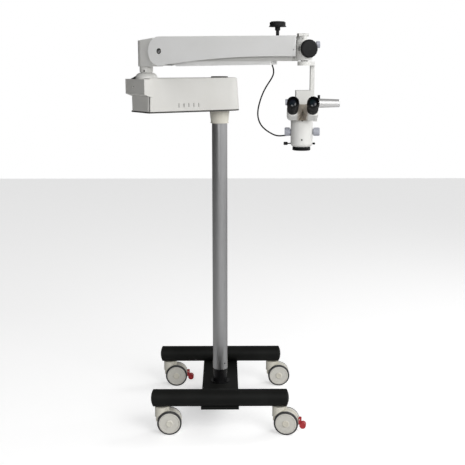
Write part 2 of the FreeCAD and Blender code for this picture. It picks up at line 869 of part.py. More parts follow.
def housing_pieces():
    far = reach + S.housing_overhang
    block = housing_loft("Drafted", 0, housing_low, S.housing_top)
    aside = num(S.housing_half_low) - 15
    tall = num(S.housing_height) * 0.75
    block = rounded(
        block, 14, lambda p, e: p.x > num(far) - 3 and abs(p.y) > aside and e.Length > tall
    )
    nose = plank(
        [
            (far - 16, S.nose_low - 4),
            (far, S.nose_low),
            (far + S.housing_nose, S.nose_low + S.nose_ledge),
            (far + S.housing_nose, S.housing_top),
            (far - 16, S.housing_top),
        ],
        S.housing_half_high - 0.6,
    )
    cavity = housing_loft("Cavity", S.housing_wall, housing_low - 1, S.housing_top - S.housing_wall)
    outer = fuse(block, nose)
    vents = [
        box(
            S.vent_width,
            30,
            S.vent_height,
            (reach - S.vent_first - S.vent_pitch * i - S.vent_width / 2, 60, S.vent_low),
        )
        for i in range(int(SIZES["vent_count"]))
    ]
    screw = rod(
        S.nose_hole_radius, 8, (far + S.housing_nose - 8, -S.nose_hole_side, S.nose_hole_height), "right"
    )
    necks = [
        rod(S.hub_radius, S.housing_wall * 2, (0, 0, S.housing_top - S.housing_wall)),
        rod(S.hub_radius, S.housing_wall * 2, (reach, 0, S.housing_top - S.housing_wall)),
    ]
    HOUSING.name("housing_shell", cut(outer, cavity, *vents, screw, *necks))
    pan = housing_loft("Pan", 0.6, S.turn_height, housing_low)
    inlet_hole = inlet_block(S.inlet_place, S.inlet_length, S.inlet_width, S.turn_height - 1, 10)
    rocker_hole = inlet_block(
        S.rocker_place, S.rocker_length + 1, S.rocker_width + 1, S.turn_height - 1, 10
    )
    mouth = rod(S.bush_flange_radius + 1, S.pan_thick * 2, (0, 0, S.turn_height - 1))
    HOUSING.name("housing_pan", cut(pan, inlet_hole, rocker_hole, mouth))
    lid = housing_loft("Lid", S.lid_inset, S.housing_top, S.housing_top + S.lid_thick)
    holes = [
        rod(S.turret_radius, S.lid_thick * 3, (0, 0, S.housing_top - 1)),
        rod(S.dome_radius + 0.5, S.lid_thick * 3, (reach, 0, S.housing_top - 1)),
    ]
    HOUSING.name("housing_lid", cut(lid, *holes))
    profile = [
        (0, S.hub_top),
        (S.hub_radius - 1, S.hub_top),
        (S.hub_radius - 1, S.housing_top),
        (S.turret_radius, S.housing_top),
        (S.turret_radius, S.housing_top + S.turret_height - 2),
        (S.turret_radius - 2, S.housing_top + S.turret_height),
        (0, S.housing_top + S.turret_height),
    ]
    HOUSING.name("housing_cap", turning(profile))


def inlet_block(x, length, width, low, height):
    """A block on the line of the mains inlet, beside the inner frame."""
    return box(length, width, height, (x - length / 2, -S.inlet_side - width / 2, low))


def inner_frame():
    """The casting that carries both hubs: a channel with a hub at each end."""
    half = S.frame_width / 2
    channel = slab(0, reach, half, S.frame_low, S.frame_low + S.frame_height)
    gap = slab(
        S.hub_radius + 4,
        reach - S.hub_radius - 4,
        half - S.frame_wall,
        S.frame_low + S.frame_wall,
        S.frame_low + S.frame_height + 1,
    )
    column_hub = rod(S.hub_radius, S.hub_top - S.frame_low, (0, 0, S.frame_low))
    post_hub = rod(S.hub_radius, S.hub_top - S.frame_low, (reach, 0, S.frame_low))
    bush_bore = rod(S.bush_radius, S.hub_top, (0, 0, S.frame_low - 1))
    post_bore = rod(S.post_spindle + S.run_gap, S.hub_top, (reach, 0, S.post_spindle_low - 2))
    return cut(fuse(cut(channel, gap), column_hub, post_hub), bush_bore, post_bore)


def power_pieces():
    half = S.frame_wall + S.frame_low
    HOUSING.name("inner_frame", inner_frame())
    bore = S.spindle_radius + S.run_gap
    profile = [
        (bore, S.turn_height),
        (S.bush_flange_radius, S.turn_height),
        (S.bush_flange_radius, S.frame_low),
        (S.bush_radius, S.frame_low),
        (S.bush_radius, S.spindle_top - 1),
        (bore, S.spindle_top - 1),
    ]
    HOUSING.name("column_bush", turning(profile))
    supply = slab(
        S.supply_place,
        S.supply_place + S.supply_length,
        S.frame_width / 2 - S.frame_wall - 0.5,
        half,
        half + S.supply_height,
    )
    HOUSING.name("power_supply", supply)
    shell = inlet_block(
        S.inlet_place, S.inlet_length, S.inlet_width, S.turn_height + 1, S.inlet_depth
    )
    mouth = inlet_block(
        S.inlet_place, S.inlet_length - 22, S.inlet_width - 9, S.turn_height, S.inlet_depth - 3
    )
    pin_low = S.turn_height + S.inlet_depth - 2 - S.pin_length
    pins = [inlet_block(S.inlet_place + shift, 2, 4, pin_low, S.pin_length) for shift in (-7, 0, 7)]
    HOUSING.name("mains_inlet", fuse(cut(shell, mouth), *pins))
    rocker_z = S.turn_height + 9
    rocker = rod(
        S.rocker_length / 2 - 0.3,
        S.rocker_width - 0.6,
        (S.rocker_place, -S.inlet_side - S.rocker_width / 2 + 0.3, rocker_z),
        "back",
    )
    trim = inlet_block(S.rocker_place, 60, 40, S.turn_height + 8, 40)
    HOUSING.name("rocker_switch", cut(rocker, trim))
    profile = [
        (S.post_spindle + S.run_gap, S.hub_top),
        (S.hub_radius - 1, S.hub_top),
        (S.hub_radius - 1, S.housing_top),
        (S.dome_radius, S.housing_top),
        (S.dome_top_radius, S.dome_top),
        (S.post_spindle + S.run_gap, S.dome_top),
    ]
    HOUSING.name("post_base", laid(turning(profile, [(3, 21, 1)]), (reach, 0, 0)))


# Post and arm. Drawn with the post axis at the origin and +x along the arm.

post_x = reach * cos(S.housing_turn)
post_y = reach * sin(S.housing_turn)
POST = Frame(post_x, post_y, 0, S.arm_turn)
lower_height = S.arm_height - S.link_spacing


def lug(x, foot):
    """The tongue between the link plates, with both pivot bores."""
    half = S.lug_width / 2
    tongue = fuse(
        slab(foot, x, half, lower_height - S.lug_radius, S.arm_height + S.lug_radius),
        slab(x, x + S.lug_radius, half, lower_height, S.arm_height),
        cross(S.lug_radius, half, (x, S.arm_height)),
        cross(S.lug_radius, half, (x, lower_height)),
    )
    return tongue


def lug_bores(x):
    bore = S.pivot_radius + S.run_gap
    return [cross(bore, S.lug_width, (x, S.arm_height)), cross(bore, S.lug_width, (x, lower_height))]


def post_pieces():
    foot = S.dome_top + S.seat_gap
    profile = [
        (S.post_spindle, foot),
        (S.post_collar_radius - 4, foot),
        (S.post_collar_radius - 4, S.post_collar_low),
        (S.post_collar_radius, S.post_collar_low),
        (S.post_collar_radius, S.post_low),
        (S.post_spindle, S.post_low),
    ]
    POST.name("post_collar", turning(profile))
    spindle = rod(S.post_spindle, S.post_low - S.post_spindle_low, (0, 0, S.post_spindle_low))
    head = fuse(
        rod(S.post_radius, S.post_crown - S.post_low, (0, 0, S.post_low)),
        slab(0, S.post_depth, S.post_radius, S.post_low, S.post_crown),
    )
    slope = plank(
        [
            (-S.post_radius - 2, S.post_high),
            (S.post_depth, S.post_crown),
            (S.post_depth, S.post_crown + 12),
            (-S.post_radius - 2, S.post_crown + 12),
        ],
        S.post_radius + 2,
    )
    recess = cross(S.cover_end_radius + S.post_ring_gap, S.post_radius + 2, (S.arm_start, S.arm_height))
    shaped = cut(head, slope, recess)
    shaped = fuse(shaped, spindle, lug(S.arm_start, S.post_radius - 6))
    POST.name("post_column", cut(shaped, *lug_bores(S.arm_start)))


def cover_profile(grow, far, far_rise, far_drop):
    """The side view of the arm's cover: a round end, a falling top and a hollowed lower edge."""
    x = S.arm_start
    end = S.cover_end_radius - grow
    return [
        (x, S.arm_height + end),
        (x, S.arm_height - end),
        (x + far, S.arm_height - far_drop),
        (x + far, S.arm_height + far_rise),
    ]


def arm_pieces():
    x = S.arm_start
    end = S.cover_end_radius
    points = cover_profile(0, S.cover_far, S.cover_rise_far, S.cover_drop_far)
    outer = plank(points, S.cover_half, [(0, end, 1), (1, 3900, -1)])
    wall = S.cover_wall
    inner = fuse(
        cross(end - wall, S.cover_half - wall, (x, S.arm_height)),
        plank(
            [
                (x, S.arm_height - end - 40),
                (x + S.cover_far + 2, S.arm_height - end - 40),
                (x + S.cover_far + 2, S.arm_height + S.cover_rise_far - wall),
                (x, S.arm_height + end - wall),
            ],
            S.cover_half - wall,
        ),
    )
    open_roof = slab(
        x + S.cover_roof_far, x + S.cover_far + 5, S.cover_half - wall, S.arm_height + 20, S.arm_height + 70
    )
    slot = slab(x - end - 5, x - 8, S.cover_slot / 2, S.arm_height - end - 5, S.arm_height + end * 0.82)
    stud = rod(S.star_stem_radius + 0.3, 30, (x + S.star_place, 0, S.arm_height + 35))
    screws = [cross(S.pivot_radius, S.cover_half + 2, (x, S.arm_height))]
    POST.name("arm_cover", cut(outer, inner, open_roof, slot, stud, *screws))

    beam_end = x + S.arm_length
    block = fuse(
        slab(x, beam_end, S.beam_half, S.arm_height - S.beam_drop, S.arm_height + S.beam_drop),
        slab(x + 42, beam_end - 34, S.beam_half, S.arm_height, S.arm_height + S.beam_rise),
        cross(S.beam_drop + 2, S.beam_half, (x, S.arm_height)),
        cross(S.beam_drop + 2, S.beam_half, (beam_end, S.arm_height)),
    )
    channel = slab(x - 20, beam_end + 20, S.beam_inner, S.arm_height - 20, S.arm_height + S.beam_rise - 3)
    holes = [cross(S.pivot_radius, S.beam_half + 2, (p, S.arm_height)) for p in (x, beam_end)]
    POST.name("arm_beam", cut(block, channel, *holes))

    pins = [
        cross(S.pivot_radius, S.cover_half - 0.5, (x, S.arm_height)),
        cross(S.pivot_radius, S.beam_half, (beam_end, S.arm_height)),
    ]
    POST.name("arm_pins", group(*pins))
    spring_x = x + S.spring_start
    spring_z = S.arm_height + S.beam_rise - 3 - S.spring_radius
    spring = fuse(
        rod(S.spring_radius, S.spring_length * 0.55, (spring_x, 0, spring_z), "right"),
        rod(S.spring_radius * 0.4, S.spring_length, (spring_x, 0, spring_z), "right"),
        rod(S.spring_radius, 8, (spring_x + S.spring_length, 0, spring_z), "right"),
    )
    POST.name("balance_spring", spring)

    rise = (S.cover_rise_far - end) * (S.star_place / S.cover_far) + end
    stem_foot = S.arm_height + rise - S.cover_wall - 12
    star_low = S.arm_height + rise + S.star_stem
    profile = [
        (0, stem_foot),
        (S.star_stem_radius, stem_foot),
        (S.star_stem_radius, star_low),
        (S.star_hub_radius, star_low + 2),
        (S.star_hub_radius, star_low + S.star_hub),
        (S.star_radius, star_low + S.star_hub),
        (S.star_radius - 3, star_low + S.star_hub + 5),
        (S.star_radius - 3, star_low + S.star_hub + S.star_depth - 5),
        (S.star_radius - 8, star_low + S.star_hub + S.star_depth - 1.5),
        (0, star_low + S.star_hub + S.star_depth),
    ]
    knob = laid(turning(profile), (x + S.star_place, 0, 0))
    flutes = [
        rod(
            5,
            S.star_depth + 4,
            (
                x + S.star_place + (S.star_radius + 2.2) * cos(turn),
                (S.star_radius + 2.2) * sin(turn),
                star_low + S.star_hub - 2,
            ),
        )
        for turn in range(0, 360, 45)
    ]
    POST.name("star_knob", cut(knob, *flutes))


def lower_pieces():
    x = S.arm_start
    end = x + S.arm_length
    low = lower_height - S.link_drop
    block = fuse(
        slab(x, end, S.link_half, low, lower_height + S.link_rise),
        cross(S.link_drop, S.link_half, (x, lower_height)),
        cross(S.link_drop, S.link_half, (end, lower_height)),
    )
    trough = slab(x - 20, end + 20, S.link_inner, low + S.link_web, lower_height + 20)
    ends = [
        slab(x - 20, x + S.lug_radius + 3, S.link_inner, low - 5, lower_height + 20),
        slab(end - S.lug_radius - 22, end + 20, S.link_inner, low - 5, lower_height + 20),
    ]
    holes = [cross(S.pivot_radius, S.link_half + 2, (p, lower_height)) for p in (x, end)]
    pins = [cross(S.pivot_radius, S.link_half, (p, lower_height)) for p in (x, end)]
    POST.name("lower_link", group(cut(block, trough, *ends, *holes), *pins))

    start, stop = x + S.duct_start, x + S.duct_end
    duct = plank(
        [
            (start, S.arm_height - S.duct_drop_start),
            (stop, S.arm_height - S.duct_drop_end),
            (stop, low),
            (start, low),
        ],
        S.duct_half,
    )
    bore = plank(
        [
            (start - 1, S.arm_height - S.duct_drop_start + S.duct_wall),
            (stop + 1, S.arm_height - S.duct_drop_end + S.duct_wall),
            (stop + 1, low - S.duct_wall),
            (start - 1, low - S.duct_wall),
        ],
        S.duct_half - S.duct_wall,
    )
    nose = plank(
        [
            (x + S.gland_start, low - 2),
            (start - 8, S.arm_height - S.duct_drop_start + 3),
            (start, S.arm_height - S.duct_drop_start),
            (start, low),
            (x + S.gland_start, low),
        ],
        S.duct_half - 6,
    )
    stopper = plank(
        [
            (stop, S.arm_height - S.duct_drop_end + 0.5),
            (stop + 4, S.arm_height - S.duct_drop_end + 0.5),
            (stop + 4, low - 0.5),
            (stop, low - 0.5),
        ],
        S.duct_half - 1,
    )
    POST.name("cable_duct", group(cut(duct, bore), nose, stopper))


# Arm head and drop arm, about the vertical axis at the end of the arm.

head_x = post_x + (S.arm_start + S.head_reach) * cos(S.arm_turn)
head_y = post_y + (S.arm_start + S.head_reach) * sin(S.arm_turn)
HEAD = Frame(head_x, head_y, 0, S.arm_turn)
BOSS = Frame(head_x, head_y, S.boss_height, S.boss_turn)
DROP = Frame(head_x, head_y, 0)


def head_pieces():
    pivot = S.arm_length - S.head_reach
    body = rod(S.head_radius, S.head_high - S.head_low, (0, 0, S.head_low))
    swing = S.boss_turn - S.arm_turn
    boss = aimed(rod(S.boss_radius, S.boss_length), swing, 0, S.boss_height)
    neck = slab(pivot - S.lug_radius, 0, S.lug_width / 2, lower_height - 4, S.arm_height + S.lug_radius)
    tongue = fuse(
        neck,
        cross(S.lug_radius, S.lug_width / 2, (pivot, S.arm_height)),
        cross(S.ear_radius, S.lug_width / 2, (pivot, lower_height)),
        slab(pivot, 0, S.lug_width / 2, S.head_low, S.arm_height),
    )
    deep = S.drop_spindle_top - S.head_low + 1
    bearing = rod(S.drop_spindle_radius + S.run_gap, deep, (0, 0, S.head_low))
    bore = S.knob_stud_radius + S.run_gap
    stud_hole = aimed(rod(bore, S.knob_stud), swing, S.boss_length - S.knob_stud, S.boss_height)
    lever_hole = rod(bore, S.knob_stud, (0, 0, S.head_high - S.knob_stud))
    side_rod = aimed(
        rod(S.side_boss_radius, S.side_knob_start - S.seat_gap), -S.arm_turn, 0, S.side_knob_height
    )
    side_hole = aimed(
        rod(S.side_stud_radius + S.run_gap, S.knob_stud),
        -S.arm_turn,
        S.side_knob_start - S.knob_stud,
        S.side_knob_height,
    )
    solid = fuse(body, boss, tongue, side_rod)
    holes = [bearing, stud_hole, lever_hole, side_hole, *lug_bores(pivot)]
    HEAD.name("arm_head", cut(solid, *holes))


def friction_knob():
    """A fluted round knob on its stud, its back face just off the boss."""
    start = S.boss_length + S.seat_gap
    profile = [
        (0, S.boss_length - S.knob_stud + 1),
        (S.knob_stud_radius, S.boss_length - S.knob_stud + 1),
        (S.knob_stud_radius, start),
        (S.friction_radius - 2, start),
        (S.friction_radius, start + 3),
        (S.friction_radius, start + S.friction_depth - 4),
        (S.friction_radius - 4, start + S.friction_depth - 0.8),
        (0, start + S.friction_depth),
    ]
    knob = laid(turning(profile), (0, 0, 0), "right")
    grooves = [
        rod(
            2.2,
            S.friction_depth + 4,
            (start - 2, (S.friction_radius + 1.2) * cos(turn), (S.friction_radius + 1.2) * sin(turn)),
            "right",
        )
        for turn in range(0, 360, 20)
    ]
    return cut(knob, *grooves)


def knob_pieces():
    BOSS.name("friction_knob", friction_knob())
    base = S.head_high + S.seat_gap
    foot = S.head_high - S.knob_stud + 1
    stud = rod(S.knob_stud_radius, base - foot, (0, 0, foot))
    hub = rod(S.lever_radius + 2, S.lever_height - base, (0, 0, base))
    middle = (0, 0, S.lever_height)
    bar = cone(S.lever_radius, S.lever_radius - 1, S.lever_length * 0.65, middle, "left")
    tail = cone(S.lever_radius, S.lever_radius - 1.5, S.lever_length * 0.35, middle, "right")
    DROP.name("clamp_lever", fuse(stud, hub, bar, tail))
    start = S.side_knob_start
    profile = [
        (0, start - S.knob_stud + 1),
        (S.side_stud_radius, start - S.knob_stud + 1),
        (S.side_stud_radius, start),
        (S.side_knob_radius - 1, start),
        (S.side_knob_radius, start + 1),
        (S.side_knob_radius, start + S.side_knob_depth - 1.5),
        (S.side_knob_radius - 1.5, start + S.side_knob_depth),
        (0, start + S.side_knob_depth),
    ]
    knob = laid(turning(profile), (0, 0, S.side_knob_height), "right")
    grooves = [
        rod(
            0.9,
            S.side_knob_depth + 2,
            (
                start - 1,
                (S.side_knob_radius + 0.4) * cos(turn),
                S.side_knob_height + (S.side_knob_radius + 0.4) * sin(turn),
            ),
            "right",
        )
        for turn in range(0, 360, 20)
    ]
    DROP.name("side_knob", cut(knob, *grooves))


def drop_arm():
    """A plate under the head, a leg behind the microscope and the knuckle that it tilts on."""
    low = S.drop_top - S.drop_plate
    left = S.leg_side - S.leg_width / 2
    right = S.leg_side + S.leg_width / 2
    front = S.leg_back - S.leg_depth / 2
    back = S.leg_back + S.leg_depth / 2
    sole = plate(
        [
            (-(S.drop_radius * 0.42), S.drop_radius * 0.9),
            (0, 0),
            (S.drop_radius * 0.86, -(S.drop_radius * 0.5)),
            (right, front - 6),
            (right, back),
            (left - 2, back),
        ],
        low,
        S.drop_plate,
    )
    disc = rod(S.drop_radius, S.drop_plate, (0, 0, low))
    leg = box(S.leg_width, S.leg_depth, S.drop_top - S.leg_low, (left, front, S.leg_low))
    spindle = rod(S.drop_spindle_radius, S.drop_spindle_top - S.drop_top, (0, 0, S.drop_top))
    knuckle_x = left - S.knuckle_length
    span = S.knuckle_length + S.leg_width / 2
    round_part = rod(S.knuckle_radius, span, (knuckle_x, S.tilt_back, S.tilt_height), "right")
    square = box(
        span,
        S.knuckle_radius * 2,
        S.knuckle_top - S.tilt_height,
        (knuckle_x, S.tilt_back - S.knuckle_radius, S.tilt_height),
    )
    body = fuse(sole, disc, leg, spindle, round_part, square)
    bore = rod(S.tilt_shaft_radius + S.run_gap, 200, (-100, 0, 0), "right")
    bore.Placement = Placement(
        Vector(num(S.tilt_side), num(S.tilt_back), num(S.tilt_height)),
        Rotation(Vector(0, 0, 1), num(S.scope_turn)),
    ).multiply(Placement(Vector(-100, 0, 0), TURNS["right"]))
    return cut(body, bore)


# Microscope. Drawn with the tilt axis along x through the origin and the optical axis in front.

scope_x = head_x + S.tilt_side
scope_y = head_y + S.tilt_back
SCOPE = Frame(scope_x, scope_y, S.tilt_height, S.scope_turn)
optical = -S.body_forward


def carrier():
    """The yoke that hangs on the tilt shaft and holds the microscope's body."""
    left, right = S.yoke_left, S.yoke_right
    cheeks = []
    for low, high in ((-left, -left + S.yoke_cheek), (right - S.yoke_cheek, right)):
        cheeks.append(rod(S.yoke_radius, high - low, (low, 0, 0), "right"))
        cheeks.append(
            box(
                high - low,
                S.yoke_bridge_depth,
                -S.yoke_bridge_low,
                (low, -(S.yoke_bridge_depth / 2), S.yoke_bridge_low),
            )
        )
    bridge = box(
        left + right,
        S.yoke_bridge_depth,
        S.yoke_bridge_top - S.yoke_bridge_low,
        (-left, -(S.yoke_bridge_depth / 2), S.yoke_bridge_low),
    )
    stub = S.tilt_knob_depth * 0.6
    shaft = rod(S.tilt_shaft_radius, left + right + stub, (-left - stub, 0, 0), "right")
    saddle = rod(S.body_radius, 200, (0, optical, -150))
    return cut(fuse(*cheeks, bridge, shaft), saddle)


def handle_screw():
    return rod(4.5, 12, (S.yoke_right + 5, 0, S.handle_root_radius - S.handle_drop))


def scope_pieces():
    SCOPE.name("scope_carrier", carrier())
    knob_start = -S.yoke_left - S.seat_gap
    profile = [
        (S.tilt_shaft_radius + S.run_gap, -knob_start),
        (S.tilt_knob_radius, -knob_start),
        (S.tilt_knob_radius, S.tilt_knob_depth - knob_start - 1.5),
        (S.tilt_knob_radius - 1.5, S.tilt_knob_depth - knob_start),
        (0, S.tilt_knob_depth - knob_start),
        (0, S.yoke_left + S.tilt_knob_depth * 0.6 + 0.3),
        (S.tilt_shaft_radius + S.run_gap, S.yoke_left + S.tilt_knob_depth * 0.6 + 0.3),
    ]
    SCOPE.name("tilt_knob", laid(turning(profile), way="left"))
    profile = [
        (0, S.yoke_right),
        (S.handle_root_radius, S.yoke_right),
        (S.handle_root_radius, S.yoke_right + 6),
        (S.handle_tip_radius, S.yoke_right + S.handle_length - 1.5),
        (S.handle_tip_radius - 1.5, S.yoke_right + S.handle_length),
        (0, S.yoke_right + S.handle_length),
    ]
    grip = laid(turning(profile), (0, 0, -S.handle_drop), "right")
    SCOPE.name("tilt_handle", cut(grip, handle_screw()))

    profile = [
        (0, S.body_low),
        (S.body_radius - S.body_round, S.body_low),
        (S.body_radius, S.body_low + S.body_round),
        (S.body_radius, S.body_high - 3),
        (S.body_radius - 3, S.body_high),
        (0, S.body_high),
    ]
    shell = laid(turning(profile, [(1, S.body_round, 1), (3, 3, 1)]), (0, optical, 0))
    inner = S.body_radius - S.body_wall
    cavity = rod(
        inner - 5,
        S.body_high - S.body_low - S.body_wall * 2,
        (0, optical, S.body_low + S.body_wall),
    )
    light_path = rod(S.lens_radius - 4, S.body_wall * 2, (0, optical, S.body_low - 1))
    cross_bore = rod(S.magnifier_shaft + S.run_gap, 200, (-100, optical, S.magnifier_height), "right")
    screw_holes = [
        rod(2, S.body_radius * 2, (-(S.body_radius * 1.0), optical, S.body_low + 11), "right"),
    ]
    front_hole = rod(2.5, 6, (0, optical - S.body_radius - 1, S.body_low + 27), "back")
    SCOPE.name("scope_body", cut(shell, cavity, light_path, cross_bore, *screw_holes, front_hole))

    low = S.body_low - S.ring_depth
    profile = [
        (S.lens_radius - 1.5, low),
        (S.ring_radius - 1, low),
        (S.ring_radius, low + 1),
        (S.ring_radius, S.body_low),
        (S.lens_radius - 4, S.body_low),
        (S.lens_radius - 4, S.body_low - 5),
        (S.lens_radius, S.body_low - 5),
        (S.lens_radius, low + 3.5),
        (S.lens_radius - 1.5, low + 3.5),
    ]
    SCOPE.name("objective_ring", laid(turning(profile), (0, optical, 0)))
    profile = [
        (0, low + 3.5),
        (S.lens_radius, low + 3.5),
        (S.lens_radius, S.body_low - 5),
        (S.lens_radius - 4, S.body_low - 5),
        (0, S.body_low - 3.6),
    ]
    SCOPE.name("objective_lens", laid(turning(profile), (0, optical, 0)))

    inner_face = S.body_radius + 3
    profile = [
        (0, -S.magnifier_left),
        (S.magnifier_knob_radius - 1, -S.magnifier_left),
        (S.magnifier_knob_radius, -S.magnifier_left + 1),
        (S.magnifier_knob_radius, -inner_face),
        (10, -inner_face),
        (10, -(S.body_radius + S.seat_gap)),
        (S.magnifier_shaft, -(S.body_radius + S.seat_gap)),
        (S.magnifier_shaft, -S.drum_half),
        (S.drum_radius, -S.drum_half),
        (S.drum_radius, S.drum_half),
        (S.magnifier_shaft, S.drum_half),
        (S.magnifier_shaft, S.body_radius + S.seat_gap),
        (10, S.body_radius + S.seat_gap),
        (10, inner_face),
        (S.magnifier_knob_radius, inner_face),
        (S.magnifier_knob_radius, S.magnifier_right - 1),
        (S.magnifier_knob_radius - 1, S.magnifier_right),
        (0, S.magnifier_right),
    ]
    SCOPE.name(
        "magnification_drum", laid(turning(profile), (0, optical, S.magnifier_height), "right")
    )

    rear = optical + S.body_radius
    lamp = fuse(
        box(
            S.lamp_width,
            S.lamp_depth + 8,
            S.lamp_height,
            (-(S.lamp_width / 2), rear - 8, S.lamp_low),
        ),
        rod(5, 8, (-(S.lamp_width / 2) - 6, rear + 6, S.lamp_low + 31), "right"),
    )
    clearance = rod(S.body_radius, 200, (0, optical, -200))
    SCOPE.name("lamp_house", cut(lamp, clearance))
    screws = [
        fuse(
            rod(2, 14, (-S.body_radius - 10, optical, S.body_low + 11), "right"),
            rod(5.2, 14, (-S.body_radius - 24, optical, S.body_low + 11), "right"),
        ),
        fuse(
            rod(2, 6, (S.body_radius - 4, optical, S.body_low + 11), "right"),
            rod(3.5, 8.5, (S.body_radius + 0.6, optical, S.body_low + 11), "right"),
        ),
        handle_screw(),
    ]
    SCOPE.name("lock_screws", group(*screws))


# Binocular tube, in a frame whose z axis runs along the eyepieces towards the observer.

tube_place = Placement(
    Vector(0, -num(S.tube_forward), -num(S.tube_drop)),
    Rotation(Vector(1, 0, 0), 90 - num(S.tube_incline)),
)


class Tube:
    """The leaning frame of the eyepieces, inside the microscope's own frame."""

    def name(self, label, feature):
        holder = doc.addObject("Part::Compound", "Piece")
        holder.Links = [feature]
        upright = Placement(Vector(*[num(v) for v in SCOPE.at]), SCOPE.rotation)
        holder.Placement = upright.multiply(tube_place)
        holder.Label = label
        NODES[label] = holder


TUBE = Tube()


def prism(side):
    """One prism housing: a rounded box whose inner face is cut back to a vee."""
    inner, outer = S.prism_gap, S.eye_half + S.prism_side
    low = inner if side > 0 else -outer
    rear = -S.prism_depth + S.seat_gap
    depth = S.prism_depth - S.seat_gap - 2
    block = box(outer - inner, S.prism_half * 2, depth, (low, -S.prism_half, rear))
    edge_x = num(outer) * side
    block = rounded(block, 12, lambda p, e: abs(p.x - edge_x) < 0.1 and e.Length > num(depth) - 1)
    collar = rod(S.eye_barrel_radius + 1, 2, (S.eye_half * side, 0, -2))
    far = S.prism_half + 2
    below = [(0, 0), (14 * side, -far), (-4 * side, -far)]
    above = [(0, 0), (10 * side, far), (-4 * side, far)]
    vees = [plate(points, rear - 1, S.prism_depth + 2) for points in (below[::side], above[::-side])]
    return cut(fuse(block, collar), *vees)


def eyepiece(side):
    profile = [
        (0, 0),
        (S.eye_barrel_radius, 0),
        (S.eye_barrel_radius, S.eye_barrel - 2),
        (S.eye_barrel_radius - 1.5, S.eye_barrel),
        (S.eye_neck_radius, S.eye_barrel),
        (S.eye_neck_radius, S.eye_length - S.eye_cup_recess - 6),
        (0, S.eye_length - S.eye_cup_recess - 3),
    ]
    return laid(turning(profile), (S.eye_half * side, 0, 0))


def eyecup(side):
    bore = S.eye_neck_radius + S.run_gap
    start = S.eye_barrel + S.seat_gap
    profile = [
        (bore, start),
        (S.eye_ring_radius - 0.7, start),
        (S.eye_ring_radius, start + 2),
        (S.eye_ring_radius, S.eye_length - 9),
        (S.eye_ring_radius - 0.8, S.eye_length - 2),
        (S.eye_ring_radius - 1.8, S.eye_length),
        (S.eye_cup_inner + 1, S.eye_length),
        (S.eye_cup_inner, S.eye_length - 4),
        (bore, S.eye_length - S.eye_cup_recess - 4),
    ]
    return laid(turning(profile), (S.eye_half * side, 0, 0))


def binocular_pieces():
    body = doc.addObject("PartDesign::Body", "Wedge")
    top = S.body_high
    sketch = outline(
        body,
        "YZ_Plane",
        [
            (-34, top),
            (-34, top + 30),
            (-58, top + 40),
            (-79.2, top + 25.2),
            (-98.2, top - 12.2),
            (-82.2, top - 3),
            (-82.2, top),
        ],
    )
    pad = body.newObject("PartDesign::Pad", "Thickness")
    pad.Profile = sketch
    pad.Midplane = True
    bind(pad, "Length", S.wedge_half * 2)
    body.Tip = pad
    SCOPE.name("binocular_base", body)
    for side, word in ((-1, "left"), (1, "right")):
        TUBE.name(f"prism_{word}", prism(side))
        TUBE.name(f"eyepiece_{word}", eyepiece(side))
        TUBE.name(f"eyecup_{word}", eyecup(side))


# Lamp cable, from the duct under the arm to the lamp behind the microscope. Chosen by hand.

CABLE_ROUTE = [
    (187.8, -524.4, 1483.3),
    (197.1, -528.2, 1461.4),
    (188.7, -532.5, 1438.4),
    (168.4, -536.8, 1411.8),
    (153.4, -541.0, 1382.2),
    (143.2, -545.2, 1352.5),
    (136.6, -549.5, 1322.7),
    (138.4, -553.8, 1296.1),
    (150.0, -558.0, 1271.3),
    (172.1, -560.0, 1253.4),
    (198.8, -560.5, 1238.7),
    (218.5, -560.0, 1237.2),
    (238.1, -559.0, 1240.0),
    (259.4, -558.3, 1241.0),
]


def cable_path(route):
    """Straight runs joined by arcs as large as the runs allow."""
    points = [Vector(*p) for p in route]
    edges, radii, start = [], [], points[0]
    for before, corner, after in zip(points, points[1:], points[2:]):
        back, ahead = (before - corner), (after - corner)
        turn = math.pi - back.getAngle(ahead)
        tangent = 0.45 * min(back.Length, ahead.Length)
        radii.append(tangent / math.tan(turn / 2))
        enter = corner + back.normalize() * tangent
        leave = corner + ahead.normalize() * tangent
        bisector = ((enter + leave) * 0.5 - corner).normalize()
        middle = corner + bisector * (radii[-1] / math.cos(turn / 2) - radii[-1])
        edges += [Part.LineSegment(start, enter).toShape(), Part.Arc(enter, middle, leave).toShape()]
        start = leave
    edges.append(Part.LineSegment(start, points[-1]).toShape())
    return Part.Wire(edges), radii


def cable_piece():
    path, radii = cable_path(CABLE_ROUTE)
    print("cable radii", [round(r) for r in radii], "length", round(path.Length))
    start, following = Vector(*CABLE_ROUTE[0]), Vector(*CABLE_ROUTE[1])
    ring = Part.Wire(Part.makeCircle(num(S.cable_radius), start, following - start))
    tube = path.makePipeShell([ring], True, False)
    expected = math.pi * num(S.cable_radius) ** 2 * path.Length
    print("cable volume", round(tube.Volume), "expected", round(expected))
    feature = doc.addObject("Part::Feature", "Cable")
    feature.Shape = tube
    FLOOR.name("lamp_cable", feature)


base_pieces()
column_pieces()
castor_pieces()
housing_pieces()
power_pieces()
post_pieces()
arm_pieces()
lower_pieces()
head_pieces()
knob_pieces()
DROP.name("drop_arm", drop_arm())
scope_pieces()
binocular_pieces()
cable_piece()
doc.recompute()

failed = [f for f in doc.Objects if "Invalid" in f.State or "Error" in f.State]
for feature in failed:
    users = [user.Label for user in feature.InList]
    print(feature.Label, feature.State, feature.getStatusString(), "used by", users)
if failed:
    raise ValueError(f"{len(failed)} features failed")
os.makedirs("parts", exist_ok=True)
for label, feature in NODES.items():
    shape = feature.Shape
    if shape.isNull() or not shape.isValid() or not shape.Solids:
        raise ValueError(f"{label} has no valid solid")
    shape.exportStep(f"parts/{label}.step")
print(len(NODES), "pieces written")
